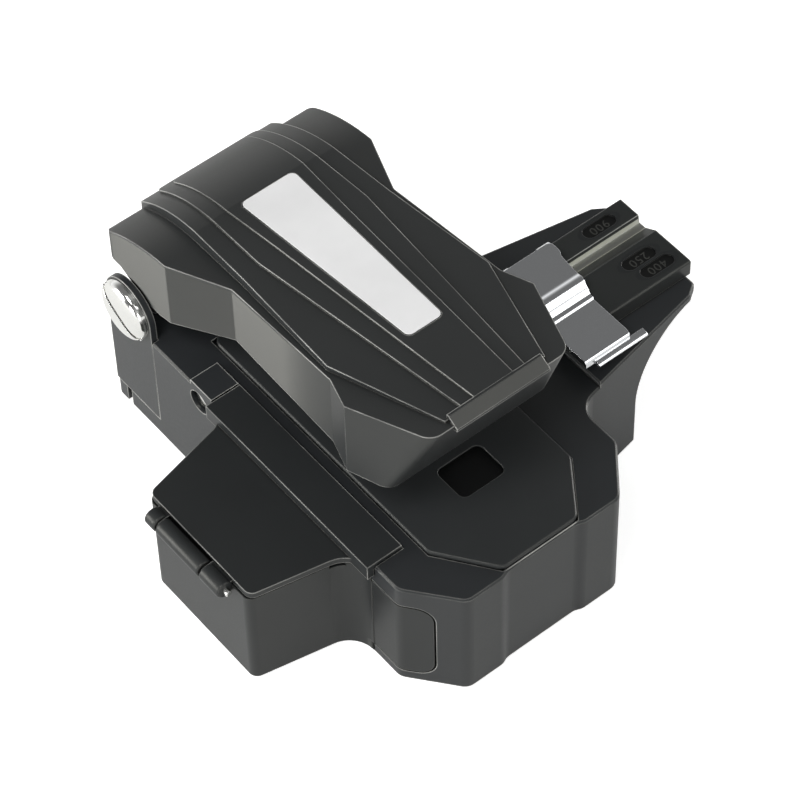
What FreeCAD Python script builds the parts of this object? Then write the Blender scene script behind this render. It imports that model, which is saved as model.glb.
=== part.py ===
import FreeCAD, Part
import itertools
import math
import os
import Sketcher

# One-step optical fibre cleaver. Millimetres.
# X = 0 is the middle plane of the housing and +X points to the fibre holder's arm.
# Y = 0 is the middle plane of the arm and -Y points to the user. Z = 0 is the table.

doc = FreeCAD.newDocument("fibre_cleaver")
sheet = doc.addObject("Spreadsheet::Sheet", "Sizes")
cell_rows = itertools.count(1)
pieces = []


# ---------------------------------------------------------------- lengths and the sheet

class Term:
    """A length: its number, and the spreadsheet expression that gives it."""

    def __init__(self, text, number):
        self.text = text
        self.number = number

    def __add__(self, other):
        other = term(other)
        return Term(f"({self.text} + {other.text})", self.number + other.number)

    def __sub__(self, other):
        other = term(other)
        return Term(f"({self.text} - {other.text})", self.number - other.number)

    def __mul__(self, other):
        other = term(other)
        return Term(f"({self.text} * {other.text})", self.number * other.number)

    def __truediv__(self, other):
        other = term(other)
        return Term(f"({self.text} / {other.text})", self.number / other.number)

    def __neg__(self):
        return Term(f"(-{self.text})", -self.number)

    def __radd__(self, other):
        return term(other) + self

    def __rsub__(self, other):
        return term(other) - self


def term(value):
    """Any number as a Term."""
    if isinstance(value, Term):
        return value
    return Term(f"({value})", float(value))


def size(alias, value, note):
    """Writes one driving size into the sheet and returns it as a Term."""
    row = next(cell_rows)
    sheet.set(f"A{row}", alias)
    sheet.set(f"B{row}", str(value))
    sheet.setAlias(f"B{row}", alias)
    sheet.set(f"C{row}", note)
    return Term(f"Sizes.{alias}", float(value))


def bind(owner, path, value):
    """Ties a property to the sheet."""
    owner.setExpression(path, term(value).text)


# ---------------------------------------------------------------- sketches and features

PLANES = {"x": ("YZ_Plane", 1), "y": ("XZ_Plane", -1), "z": ("XY_Plane", 1)}


class Bend:
    """A round stretch of an outline, about a centre, turning left or right."""

    def __init__(self, u, v, left):
        self.u = term(u)
        self.v = term(v)
        self.left = left


def flat(point):
    """A sketch vector at a pair of lengths."""
    return FreeCAD.Vector(term(point[0]).number, term(point[1]).number, 0)


def pin(sketch, geometry, end, point, directions=("DistanceX", "DistanceY")):
    """Holds one point of a sketch at its distances from the origin."""
    for direction in directions:
        value = term(point[0] if direction == "DistanceX" else point[1])
        rule = Sketcher.Constraint(direction, -1, 1, geometry, end, value.number)
        index = sketch.addConstraint(rule)
        bind(sketch, f"Constraints[{index}]", value)


def draw_outline(sketch, outline):
    """Draws a closed outline of corners, with a Bend between two of them where it is round."""
    corners = []
    bends = {}
    for item in outline:
        if isinstance(item, Bend):
            bends[len(corners) - 1] = item
        else:
            corners.append(item)
    ends = []
    for index, start in enumerate(corners):
        stop = corners[(index + 1) % len(corners)]
        bend = bends.get(index)
        if bend is None:
            sketch.addGeometry(Part.LineSegment(flat(start), flat(stop)), False)
            ends.append((1, 2))
            continue
        centre = flat((bend.u, bend.v))
        first, last = (start, stop) if bend.left else (stop, start)
        out = flat(first) - centre
        back = flat(last) - centre
        turn_from = math.atan2(out.y, out.x)
        turn_to = math.atan2(back.y, back.x)
        if turn_to < turn_from:
            turn_to += 2 * math.pi
        circle = Part.Circle(centre, FreeCAD.Vector(0, 0, 1), out.Length)
        sketch.addGeometry(Part.ArcOfCircle(circle, turn_from, turn_to), False)
        ends.append((1, 2) if bend.left else (2, 1))
    for index, (head, tail) in enumerate(ends):
        following = (index + 1) % len(corners)
        sketch.addConstraint(Sketcher.Constraint("Coincident", index, tail, following, ends[following][0]))
    for index, (head, tail) in enumerate(ends):
        pin(sketch, index, head, corners[index])
    for index, bend in bends.items():
        chord = flat(corners[(index + 1) % len(corners)]) - flat(corners[index])
        steep = abs(chord.y) > abs(chord.x)
        pin(sketch, index, 3, (bend.u, bend.v), ("DistanceX",) if steep else ("DistanceY",))


def draw_circle(sketch, centre, radius):
    """Draws one circle."""
    radius = term(radius)
    circle = Part.Circle(flat(centre), FreeCAD.Vector(0, 0, 1), radius.number)
    sketch.addGeometry(circle, False)
    pin(sketch, 0, 3, centre)
    index = sketch.addConstraint(Sketcher.Constraint("Radius", 0, radius.number))
    bind(sketch, f"Constraints[{index}]", radius)


def new_body(label):
    """An empty body with its own label."""
    body = doc.addObject("PartDesign::Body", label)
    body.Label = label
    return body


def new_sketch(body, name, axis, offset=0):
    """A sketch on the body's own origin plane, square to an axis and moved along its normal."""
    role, way = PLANES[axis]
    sketch = body.newObject("Sketcher::SketchObject", name)
    plane = next(item for item in body.Origin.OriginFeatures if item.Role == role)
    sketch.AttachmentSupport = [(plane, "")]
    sketch.MapMode = "FlatFace"
    bind(sketch, ".AttachmentOffset.Base.z", offset)
    return sketch


def extrude(body, name, axis, low, high, cutting, draw, *shape):
    """Pads or pockets a drawn shape between two places along an axis."""
    low = term(low)
    high = term(high)
    way = PLANES[axis][1]
    start = low if (way > 0) != cutting else high
    sketch = new_sketch(body, f"{name}_outline", axis, start * way)
    draw(sketch, *shape)
    feature = body.newObject("PartDesign::Pocket" if cutting else "PartDesign::Pad", name)
    feature.Profile = sketch
    bind(feature, "Length", high - low)
    return feature


def prism(body, name, axis, outline, low, high, cutting=False):
    """A straight-sided block on an outline, or a cut of that form."""
    return extrude(body, name, axis, low, high, cutting, draw_outline, outline)


def drum(body, name, axis, centre, radius, low, high, cutting=False):
    """A round block, or a round hole."""
    return extrude(body, name, axis, low, high, cutting, draw_circle, centre, radius)


def box(left, right, front, back):
    """A rectangle as an outline."""
    return [(left, front), (right, front), (right, back), (left, back)]


def both_sides(half):
    """A closed outline from its right half, listed from front to back."""
    return [(x, y) for x, y in half] + [(-term(x), y) for x, y in reversed(half)]


def along(axis, corners):
    """Chooses the straight edges along an axis that run through the given corners."""
    across = {"x": (1, 2), "y": (0, 2), "z": (0, 1)}[axis]
    goals = [(term(u).number, term(v).number) for u, v in corners]

    def chosen(edge):
        spots = [tuple(vertex.Point) for vertex in edge.Vertexes]
        if len(spots) != 2:
            return False
        for goal in goals:
            gaps = [abs(spot[across[k]] - goal[k]) for spot in spots for k in (0, 1)]
            if max(gaps) < 0.02:
                return True
        return False

    return chosen


def level(height, inside=None):
    """Chooses the edges that lie in a level plane, and within a box where one is given."""
    goal = term(height).number

    def chosen(edge):
        bounds = edge.BoundBox
        if max(abs(bounds.ZMin - goal), abs(bounds.ZMax - goal)) > 0.01:
            return False
        return inside is None or inside(edge.CenterOfMass)

    return chosen


def upright(place):
    """Chooses the edges that lie in a plane square to X."""
    goal = term(place).number

    def chosen(edge):
        return max(abs(edge.BoundBox.XMin - goal), abs(edge.BoundBox.XMax - goal)) < 0.01

    return chosen


def soften(body, name, kind, amount, chosen):
    """Rounds or bevels the chosen edges of a body."""
    doc.recompute([body.Tip])
    base = body.Tip
    names = [f"Edge{i}" for i, edge in enumerate(base.Shape.Edges, 1) if chosen(edge)]
    feature = body.newObject(f"PartDesign::{kind}", name)
    feature.Base = (base, names)
    bind(feature, "Radius" if kind == "Fillet" else "Size", amount)
    return feature


def together(kind, label, members):
    """A boolean of whole bodies: MultiFuse, MultiCommon or Compound."""
    made = doc.addObject(f"Part::{kind}", label)
    made.Label = label
    if kind == "Compound":
        made.Links = members
    else:
        made.Shapes = members
    return made


def less(label, base, tool):
    """One body with another cut away."""
    made = doc.addObject("Part::Cut", label)
    made.Label = label
    made.Base = base
    made.Tool = tool
    return made


def finish(made, label):
    """Names a sub-part and puts it on the list to be written."""
    made.Label = label
    pieces.append(made)
    return made


def slab(label, axis, outline, low, high):
    """A sub-part that is one straight-sided block."""
    body = new_body(label)
    prism(body, f"{label}_pad", axis, outline, low, high)
    pieces.append(body)
    return body


def rod(label, axis, centre, radius, low, high):
    """A sub-part that is one round bar."""
    body = new_body(label)
    drum(body, f"{label}_pad", axis, centre, radius, low, high)
    pieces.append(body)
    return body


def socket_screw(name, centre, shank, head, low, seat, top, upward=True):
    """A socket-head screw along Z: shank from low to its seat, head from seat to top, hexagon in the head."""
    body = new_body(name)
    drum(body, f"{name}_shank", "z", centre, shank, low if upward else seat, seat if upward else low)
    drum(body, f"{name}_head", "z", centre, head, seat if upward else top, top if upward else seat)
    reach = head * 0.55
    turns = [math.radians(60 * k) for k in range(6)]
    hexagon = [(centre[0] + reach * round(math.cos(a), 4), centre[1] + reach * round(math.sin(a), 4)) for a in turns]
    depth = (top - seat) * 0.6
    if upward:
        prism(body, f"{name}_socket", "z", hexagon, top - depth, top, True)
    else:
        prism(body, f"{name}_socket", "z", hexagon, top, top - depth, True)
    return body


# ---------------------------------------------------------------- sizes that many pieces share

gap = size("gap", 0.12, "shop clearance between two parts that lie side by side")
running = size("running", 0.04, "radial clearance of a pin that turns in its hole")
fibre_y = size("fibre_y", 3.6, "fibre line, from the arm's middle plane")
fibre_z = size("fibre_z", 33.2, "height of the fibre line over the table")
hinge_y = size("hinge_y", 52.7, "lid hinge, from the arm's middle plane")
hinge_z = size("hinge_z", 34.2, "height of the lid hinge")
lid_open = size("lid_open", 8.0, "degrees that the lid stands open at rest")
shell_level = size("shell_level", 8.0, "degrees open at which the lid shell's rim is level")


def hinge_turn(made, angle):
    """Turns a lid piece open about the hinge line by an angle."""
    centre = f"create(<<vector>>; 0; {hinge_y.text}; {hinge_z.text})"
    turn = f"create(<<rotation>>; create(<<vector>>; -1; 0; 0); {angle.text})"
    made.setExpression("Placement", f"create(<<placement>>; create(<<vector>>; 0; 0; 0); {turn}; {centre})")
    return made


# ---------------------------------------------------------------- base body
# One casting: a block with cut-off front corners, and an arm to +X that flares out under
# the fibre holder. It is hollow from below for the blade carriage.

mat_thick = size("mat_thick", 0.5, "non-slip mat, and the height of the casting's underside")
body_half = size("body_half", 27.7, "half the width of the housing")
body_rear = size("body_rear", 60.5, "rear wall, from the arm's middle plane")
body_front = size("body_front", 43.7, "front wall, from the arm's middle plane")
corner_y = size("corner_y", 33.0, "where the front corners start to be cut off")
front_half = size("front_half", 19.1, "half the width of the front wall")
body_top = size("body_top", 30.0, "height of the ledge round the deck plate")
body_wall = size("body_wall", 3.0, "thickness of the housing's walls")
body_roof = size("body_roof", 3.6, "thickness of the housing's top")
panel_half = size("panel_half", 8.7, "half the width of the sunk front panel")
panel_slope = size("panel_slope", 1.6, "width of the slopes beside the front panel")
panel_depth = size("panel_depth", 0.7, "how far the front panel is sunk")
arm_root = size("arm_root", 22.0, "half the width of the arm at the housing")
arm_side = size("arm_side", 15.3, "half the width of the arm at the end of its sides")
arm_end_x = size("arm_end_x", 65.7, "end face of the arm")
arm_nose = size("arm_nose", 2.9, "length of the arm's cut-off end corners")
arm_side_x = arm_end_x - arm_nose
arm_end = size("arm_end", 13.3, "half the width of the arm's end face")
arm_step_out = size("arm_step_out", 6.3, "start of the arm's raised top, out from the housing")
arm_step_x = body_half + arm_step_out
arm_top = size("arm_top", 31.0, "height of the arm's raised top")
flare_x = size("flare_x", 46.0, "outer face of the arm's foot")
flare_z = size("flare_z", 13.0, "height at which the arm starts to flare")
flare_radius = size("flare_radius", 16.4, "radius of the flare under the arm")
throat_radius = size("throat_radius", 5.0, "inner corner between housing and arm")
edge_round = size("edge_round", 1.5, "rounding of the upright corners at the rear and on the arm")
front_round = size("front_round", 3.0, "rounding of the upright corners at the front")

arm_slope = (arm_root - arm_side) / (arm_side_x - body_half)
arm_step = arm_root - arm_slope * (arm_step_x - body_half)

front_run = [
    (panel_half, panel_depth - body_front),
    (panel_half + panel_slope, -body_front),
    (front_half, -body_front),
    (body_half, -corner_y),
]
arm_run = [
    (body_half, -arm_root),
    (arm_side_x, -arm_side),
    (arm_end_x, -arm_end),
    (arm_end_x, arm_end),
    (arm_side_x, arm_side),
    (body_half, arm_root),
]
rear_run = [(body_half, body_rear), (-body_half, body_rear)]
left_run = [(-x, y) for x, y in reversed(front_run)]
body_outline = front_run + arm_run + rear_run + left_run

base = new_body("base_body")
prism(base, "housing", "z", body_outline, mat_thick, body_top)
arm_plate = [(arm_step_x, -arm_step)] + arm_run[1:5] + [(arm_step_x, arm_step)]
prism(base, "arm_raise", "z", arm_plate, body_top - 1, arm_top)
beyond = arm_end_x + 1
flare = [
    (flare_x, mat_thick - 1),
    (beyond, mat_thick - 1),
    (beyond, flare_z + flare_radius),
    (flare_x + flare_radius, flare_z + flare_radius),
    Bend(flare_x + flare_radius, flare_z, True),
    (flare_x, flare_z),
]
prism(base, "flare", "y", flare, -arm_root, arm_root, True)
soften(base, "throat", "Fillet", throat_radius, along("z", [(body_half, -arm_root), (body_half, arm_root)]))
corners = [(body_half, -corner_y), (-body_half, -corner_y), (front_half, -body_front), (-front_half, -body_front)]
corners += [(panel_half + panel_slope, -body_front), (-panel_half - panel_slope, -body_front)]
corners += [(panel_half, panel_depth - body_front), (-panel_half, panel_depth - body_front)]
soften(base, "front_corners", "Fillet", front_round, along("z", corners))
corners = [(body_half, body_rear), (-body_half, body_rear)]
corners += [(arm_side_x, -arm_side), (arm_side_x, arm_side), (arm_end_x, -arm_end), (arm_end_x, arm_end)]
soften(base, "corners", "Fillet", edge_round, along("z", corners))

top_round = size("top_round", 0.4, "bevel of the base's top edges")
before_step = level(body_top, lambda spot: spot.x < arm_step_x.number - 0.1)
soften(base, "ledge_edges", "Chamfer", top_round, before_step)
soften(base, "arm_edges", "Chamfer", top_round, level(arm_top))

# Block behind the strip of the bin's lid.
block_out = body_half
strip_over = size("strip_over", 6.8, "reach of the bin lid's strip over the housing")
strip_in = body_half - strip_over
strip_front = size("strip_front", 26.0, "front end of the bin lid's strip")
strip_rear = size("strip_rear", 25.0, "rear end of the bin lid's strip")
block_rear = size("block_rear", 32.4, "rear side of the block")
strip_end = size("strip_end", 0.45, "gap between the strip's rear end and the block")
strip_drop = size("strip_drop", 0.6, "depth of the seat under the strip")
block_rise = size("block_rise", 0.9, "height of the block over the ledge")
block_plan = box(-block_out, -strip_in, strip_rear + strip_end, block_rear)
prism(base, "block", "z", block_plan, body_top - 1, body_top + block_rise)
strip_seat = box(-body_half - 1, gap - strip_in, -strip_front - gap, strip_rear + gap)
prism(base, "strip_seat", "z", strip_seat, body_top - strip_drop, body_top, True)

# Seat of the deck plate, and the well for the blade carriage under it.
deck_ledge = size("deck_ledge", 9.7, "width of the ledge beside the deck plate")
deck_half = body_half - deck_ledge
deck_rear = size("deck_rear", 38.0, "rear edge of the deck plate")
deck_corner = size("deck_corner", 30.4, "where the deck plate's front corners start")
deck_nose = size("deck_nose", 9.3, "half the width of the deck plate's front edge")
deck_front = size("deck_front", 42.4, "front edge of the deck plate")
deck_seat = size("deck_seat", 1.0, "depth of the deck plate's seat")
deck_rise = size("deck_rise", 1.0, "height of the deck plate over the ledge")
deck_half_outline = [(deck_nose, -deck_front), (deck_half, -deck_corner), (deck_half, deck_rear)]
seat_half_outline = [
    (deck_nose + gap, -deck_front - gap),
    (deck_half + gap, -deck_corner - gap),
    (deck_half + gap, deck_rear + gap),
]
prism(base, "deck_seat", "z", both_sides(seat_half_outline), body_top - deck_seat, body_top, True)

inner_half = body_half - body_wall
cavity = both_sides([
    (front_half - body_wall, body_wall * 2 - body_front),
    (inner_half, body_wall - corner_y),
    (inner_half, body_rear - body_wall),
])
prism(base, "cavity", "z", cavity, mat_thick, body_top - body_roof, True)

# Travel of the blade carriage, from lid shut to lid wide open.
lid_shut = size("lid_shut", 8.0, "degrees from rest to lid shut")
lid_wide = size("lid_wide", 50.0, "degrees from rest to lid wide open")
stroke = size("stroke", 22.0, "travel of the blade carriage")
carriage_back = size("carriage_back", 2.2, "how far the blade stands behind the fibre line at rest")
carriage_y = fibre_y + carriage_back
stroke_shut = stroke * (lid_shut / (lid_shut + lid_wide))
stroke_open = stroke * (lid_wide / (lid_shut + lid_wide))
cheek_half = size("cheek_half", 6.0, "half the width of the carriage's cheeks")
cheek_long = size("cheek_long", 5.0, "half the length of the carriage's cheeks")
well_play = size("well_play", 1.5, "room round the cheeks in the well")
well = box(
    -cheek_half - well_play,
    cheek_half + well_play,
    carriage_y - stroke_shut - cheek_long * 2 - well_play,
    carriage_y + stroke_open + cheek_long * 2 + well_play,
)
prism(base, "well", "z", well, body_top - body_roof - 1, body_top - deck_seat, True)

# Seats of the hinge ears in the side walls, and a drain notch under each.
ear_thick = size("ear_thick", 1.5, "thickness of a hinge ear")
ear_radius = size("ear_radius", 7.4, "radius of a hinge ear's round top")
ear_low = size("ear_low", 5.2, "lower edge of a hinge ear")
notch_wide = size("notch_wide", 1.6, "width of the notch under an ear")
notch_y = size("notch_y", 56.0, "middle of the notch under an ear")
ear_front = hinge_y - ear_radius
ear_rear = hinge_y + ear_radius
for side, sign in (("left", -1), ("right", 1)):
    low = body_half - ear_thick - gap if sign > 0 else -body_half - 1
    high = body_half + 1 if sign > 0 else ear_thick + gap - body_half
    seat = box(ear_front - gap, body_rear + 1, ear_low - gap, body_top + 1)
    prism(base, f"ear_seat_{side}", "x", seat, low, high, True)
    notch = box(notch_y - notch_wide / 2, notch_y + notch_wide / 2, mat_thick - 1, ear_low - gap)
    prism(base, f"notch_{side}", "x", notch, low, high, True)

# Access hole of the blade's adjuster screw, and the seat of the bin's locating tab.
adjuster_y = size("adjuster_y", 29.9, "adjuster screw, from the arm's middle plane")
adjuster_z = size("adjuster_z", 26.0, "height of the adjuster screw")
adjuster_hole = size("adjuster_hole", 2.8, "radius of the hole round the adjuster screw")
adjuster_radius = size("adjuster_radius", 2.2, "radius of the adjuster screw")
drum(base, "adjuster_hole", "x", (adjuster_y, adjuster_z), adjuster_hole, -body_half - 1, 2 - body_half, True)
tab_thick = size("tab_thick", 1.3, "thickness of the bin's locating tab")
tab_share = size("tab_share", 0.51, "share of the cut-off corner that the tab covers")
tab_top = size("tab_top", 24.4, "top edge of the locating tab")
tab_low = size("tab_low", 3.2, "bottom edge of the locating tab")
tab_gap = size("tab_gap", 0.4, "gap round the locating tab")
tab_round = size("tab_round", 3.6, "rounding of the locating tab's free corners")
tab_root = size("tab_root", 19.0, "where the locating tab leaves the bin")
corner_run_x = body_half - front_half
corner_run_y = body_front - corner_y
corner_length = Term(
    f"sqrt({corner_run_x.text}^2 + {corner_run_y.text}^2)",
    math.hypot(corner_run_x.number, corner_run_y.number),
)
facing_x = corner_run_y / corner_length
facing_y = corner_run_x / corner_length


def tab_outline(outer, depth, reach, start):
    """The tab's plan: along the side wall, round the corner and along the cut-off face."""
    tip_x = reach * corner_run_x - body_half
    tip_y = -corner_y - reach * corner_run_y
    bend_in = depth * (Term("1", 1.0) - facing_y) / facing_x
    return [
        (-body_half - outer, start),
        (-body_half - outer, -corner_y - outer * (Term("1", 1.0) - facing_y) / facing_x),
        (tip_x - facing_x * outer, tip_y - facing_y * outer),
        (tip_x + facing_x * depth, tip_y + facing_y * depth),
        (depth - body_half, bend_in - corner_y),
        (depth - body_half, start),
    ]


seat_share = tab_share + tab_gap / corner_length
tab_seat = tab_outline(term(1), tab_thick + gap, seat_share, gap - tab_root)
prism(base, "tab_seat", "z", tab_seat, tab_low - tab_gap, tab_top + tab_gap, True)


def free_corners(share, thick):
    """Picks the short level edges at the free end of the tab or of its seat."""
    tip_x = share * corner_run_x - body_half
    tip_y = -corner_y - share * corner_run_y

    def chosen(edge):
        middle = edge.CenterOfMass
        near = abs(middle.x - tip_x.number) < 1.2 and abs(middle.y - tip_y.number) < 1.2
        return near and edge.BoundBox.ZLength < 0.01 and edge.Length < thick.number + 0.1

    return chosen


soften(base, "tab_seat_round", "Fillet", tab_round + tab_gap, free_corners(seat_share, tab_thick + gap))
pieces.append(base)

# ---------------------------------------------------------------- parts under and on the base

cover_thick = size("cover_thick", 2.5, "thickness of the bottom cover")
cover_play = size("cover_play", 0.2, "room round the bottom cover")
cover_top = mat_thick + cover_thick
cover_outline = both_sides([
    (front_half - body_wall - cover_play, body_wall * 2 - body_front + cover_play),
    (inner_half - cover_play, body_wall - corner_y + cover_play / 2),
    (inner_half - cover_play, body_rear - body_wall - cover_play),
])
cover = new_body("base_cover")
prism(cover, "cover_plate", "z", cover_outline, mat_thick, cover_top)

boss_radius = size("boss_radius", 3.0, "radius of the bosses that the cover is screwed to")
boss_in = size("boss_in", 7.2, "bosses, inward from the housing's side")
boss_x = body_half - boss_in
boss_ahead = size("boss_ahead", 7.0, "front bosses, behind the start of the cut-off corners")
boss_front = corner_y - boss_ahead
boss_behind = size("boss_behind", 7.5, "rear bosses, in front of the rear wall")
boss_rear = body_rear - boss_behind
cover_screw = size("cover_screw", 1.25, "radius of the cover screws")
cover_head = size("cover_head", 2.4, "radius of the cover screws' heads")
cover_head_depth = size("cover_head_depth", 1.5, "depth of the cover screws' heads")
boss_bore = size("boss_bore", 8.0, "depth of the bosses' screw holes")
boss_places = [(boss_x * s, y) for s in (-1, 1) for y in (-boss_front, boss_rear)]
screws = []
for number, place in enumerate(boss_places, 1):
    drum(base, f"boss_{number}", "z", place, boss_radius, cover_top, body_top - body_roof + 0.5)
    drum(base, f"boss_hole_{number}", "z", place, cover_screw, cover_top, cover_top + boss_bore, True)
    drum(cover, f"screw_hole_{number}", "z", place, cover_screw + gap, mat_thick, cover_top, True)
    drum(cover, f"head_hole_{number}", "z", place, cover_head + gap, mat_thick, mat_thick + cover_head_depth, True)
    seat = mat_thick + cover_head_depth
    screw_end = cover_top + boss_bore - 1.5
    screws.append(socket_screw(f"cover_screw_{number}", place, cover_screw, cover_head, screw_end, seat, mat_thick, False))
pieces.append(cover)
finish(together("Compound", "cover_screws", screws), "cover_screws")

mat_inset = size("mat_inset", 3.5, "edge of the non-slip mat inside the casting")
mat_outline = both_sides([
    (front_half - mat_inset / 2, mat_inset - body_front),
    (body_half - mat_inset, mat_inset / 2 - corner_y),
    (body_half - mat_inset, body_rear - mat_inset),
])
mat = slab("foot_mat", "z", mat_outline, 0, mat_thick)
soften(mat, "mat_corners", "Fillet", term(3), along("z", mat_outline))

# Deck plate: closes the well, with a slot for the blade and a pocket for the catch magnet.
blade_radius = size("blade_radius", 8.0, "radius of the blade wheel")
blade_thick = size("blade_thick", 0.9, "thickness of the blade wheel")
blade_z = fibre_z - blade_radius
slot_half = size("slot_half", 1.1, "half the width of the blade slot")
slot_play = size("slot_play", 1.2, "room at the ends of the blade slot")
deck_top = body_top + deck_rise
deck = new_body("deck_plate")
prism(deck, "deck_pad", "z", both_sides(deck_half_outline), body_top - deck_seat, deck_top)
soften(deck, "deck_corners", "Fillet", term(2.5), along("z", both_sides(deck_half_outline)))
soften(deck, "deck_edge", "Chamfer", term(0.3), level(deck_top))
blade_slot = box(
    -slot_half,
    slot_half,
    carriage_y - stroke_shut - blade_radius - slot_play,
    carriage_y + stroke_open + blade_radius + slot_play,
)
prism(deck, "blade_slot", "z", blade_slot, body_top - deck_seat, deck_top, True)
magnet_left = size("magnet_left", 4.9, "catch magnet's left side, left of the middle plane")
magnet_right = size("magnet_right", 6.1, "catch magnet's right side")
magnet_front = size("magnet_front", 25.2, "catch magnet's front side")
magnet_rear = size("magnet_rear", 16.4, "catch magnet's rear side")
magnet_depth = size("magnet_depth", 1.4, "depth of the catch magnet's pocket")
magnet_sunk = size("magnet_sunk", 0.5, "catch magnet's face under the deck")
magnet_box = box(-magnet_left, magnet_right, -magnet_front, -magnet_rear)
prism(deck, "magnet_pocket", "z", magnet_box, deck_top - magnet_depth, deck_top, True)
magnet_pocket_corners = along("z", magnet_box)
soften(deck, "magnet_pocket_corners", "Fillet", term(1.6), magnet_pocket_corners)
pieces.append(deck)

magnet_inner = box(gap - magnet_left, magnet_right - gap, gap - magnet_front, -magnet_rear - gap)
magnet = slab("catch_magnet", "z", magnet_inner, deck_top - magnet_depth, deck_top - magnet_sunk)
soften(magnet, "magnet_corners", "Fillet", term(1.5), along("z", magnet_inner))

# Lower clamp pads, one each side of the blade slot.
clamp_in = size("clamp_in", 3.2, "inner side of the clamp pads")
clamp_out = size("clamp_out", 11.5, "outer side of the clamp pads")
clamp_long = size("clamp_long", 5.5, "half the length of the clamp pads")
for side, sign in (("left", -1), ("right", 1)):
    near = clamp_in * sign
    far = clamp_out * sign
    edges = (far, near) if sign < 0 else (near, far)
    pad = slab(f"lower_pad_{side}", "z", box(*edges, fibre_y - clamp_long, fibre_y + clamp_long), deck_top, fibre_z - 0.1)
    soften(pad, f"lower_pad_{side}_edge", "Fillet", term(0.5), level(fibre_z - 0.1))

# ---------------------------------------------------------------- blade carriage on its rail

rail_half = size("rail_half", 4.5, "half the width of the guide rail")
rail_high = size("rail_high", 6.0, "height of the guide rail")
rail_front = size("rail_front", 20.0, "front end of the guide rail")
rail_rear = size("rail_rear", 46.0, "rear end of the guide rail")
rail_waist = size("rail_waist", 0.8, "depth of the grooves in the rail's sides")
rail_top = cover_top + rail_high
rail_groove = rail_high / 3
rail_profile = [
    (-rail_half, cover_top),
    (rail_half, cover_top),
    (rail_half, cover_top + rail_groove),
    (rail_half - rail_waist, cover_top + rail_groove * 1.5),
    (rail_half, cover_top + rail_groove * 2),
    (rail_half, rail_top),
    (-rail_half, rail_top),
    (-rail_half, cover_top + rail_groove * 2),
    (rail_waist - rail_half, cover_top + rail_groove * 1.5),
    (-rail_half, cover_top + rail_groove),
]
rail = new_body("guide_rail")
prism(rail, "rail_bar", "y", rail_profile, -rail_front, rail_rear)
rail_screw = size("rail_screw", 1.2, "radius of the rail screws")
rail_head = size("rail_head", 2.2, "radius of the rail screws' heads")
rail_sunk = size("rail_sunk", 2.4, "depth of the rail screws' heads")
rail_ends = size("rail_ends", 6.0, "end screws, from the rail's ends")
rail_screws = []
rail_places = [(term(0), rail_ends - rail_front), (term(0), (rail_rear - rail_front) / 2), (term(0), rail_rear - rail_ends)]
for number, place in enumerate(rail_places, 1):
    seat = rail_top - rail_sunk
    drum(rail, f"rail_hole_{number}", "z", place, rail_screw + gap, cover_top, rail_top, True)
    drum(rail, f"rail_seat_{number}", "z", place, rail_head + gap, seat, rail_top, True)
    screw = socket_screw(f"rail_screw_{number}", place, rail_screw, rail_head, cover_top + 0.1, seat, rail_top - 0.2)
    rail_screws.append(screw)
pieces.append(rail)
finish(together("Compound", "rail_screws", rail_screws), "rail_screws")

slider_half = size("slider_half", 10.0, "half the width of the carriage")
slider_long = size("slider_long", 14.0, "half the length of the carriage")
slider_low = size("slider_low", 2.4, "carriage's underside over the cover")
slider_top = size("slider_top", 19.0, "top of the carriage's block")
cheek_top = size("cheek_top", 3.0, "cheeks, over the blade's axle")
slide_play = size("slide_play", 0.05, "running room between carriage and rail")
hub_gap = size("hub_gap", 0.35, "room beside the blade in its fork")
carriage = new_body("blade_carriage")
slider_box = box(-slider_half, slider_half, carriage_y - slider_long, carriage_y + slider_long)
prism(carriage, "slider", "z", slider_box, cover_top + slider_low, slider_top)
cheek_box = box(-cheek_half, cheek_half, carriage_y - cheek_long, carriage_y + cheek_long)
prism(carriage, "cheeks", "z", cheek_box, slider_top - 1, blade_z + cheek_top)
saddle = box(-rail_half - slide_play, rail_half + slide_play, cover_top, rail_top + slide_play)
prism(carriage, "saddle", "y", saddle, carriage_y - slider_long - 1, carriage_y + slider_long + 1, True)
fork_half = blade_thick / 2 + hub_gap
fork = box(-fork_half, fork_half, carriage_y - blade_radius - 1, carriage_y + blade_radius + 1)
prism(carriage, "fork", "z", fork, blade_z - blade_radius - 0.8, blade_z + cheek_top + 1, True)
bolt_radius = size("bolt_radius", 1.5, "radius of the blade's axle bolt")
drum(carriage, "axle_hole", "x", (carriage_y, blade_z), bolt_radius + gap, -slider_half - 1, slider_half + 1, True)
soften(carriage, "slider_corners", "Fillet", term(1.5), along("z", slider_box))
pieces.append(carriage)

blade = new_body("blade_wheel")
drum(blade, "disc", "x", (carriage_y, blade_z), blade_radius, -blade_thick / 2, blade_thick / 2)
blade_bevel = size("blade_bevel", 0.3, "width of the blade's ground edge")
soften(blade, "ground_edge", "Chamfer", blade_bevel, lambda edge: edge.Length > 2 * math.pi * blade_radius.number - 0.1)
drum(blade, "blade_bore", "x", (carriage_y, blade_z), bolt_radius + running, -blade_thick, blade_thick, True)
pieces.append(blade)

bolt_head = size("bolt_head", 2.6, "radius of the axle bolt's head")
bolt_head_long = size("bolt_head_long", 0.9, "length of the axle bolt's head")
bolt = new_body("blade_bolt")
drum(bolt, "axle", "x", (carriage_y, blade_z), bolt_radius, -cheek_half, cheek_half)
drum(bolt, "bolt_head", "x", (carriage_y, blade_z), bolt_head, cheek_half, cheek_half + bolt_head_long)
pieces.append(bolt)

# ---------------------------------------------------------------- lid hinge

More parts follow.
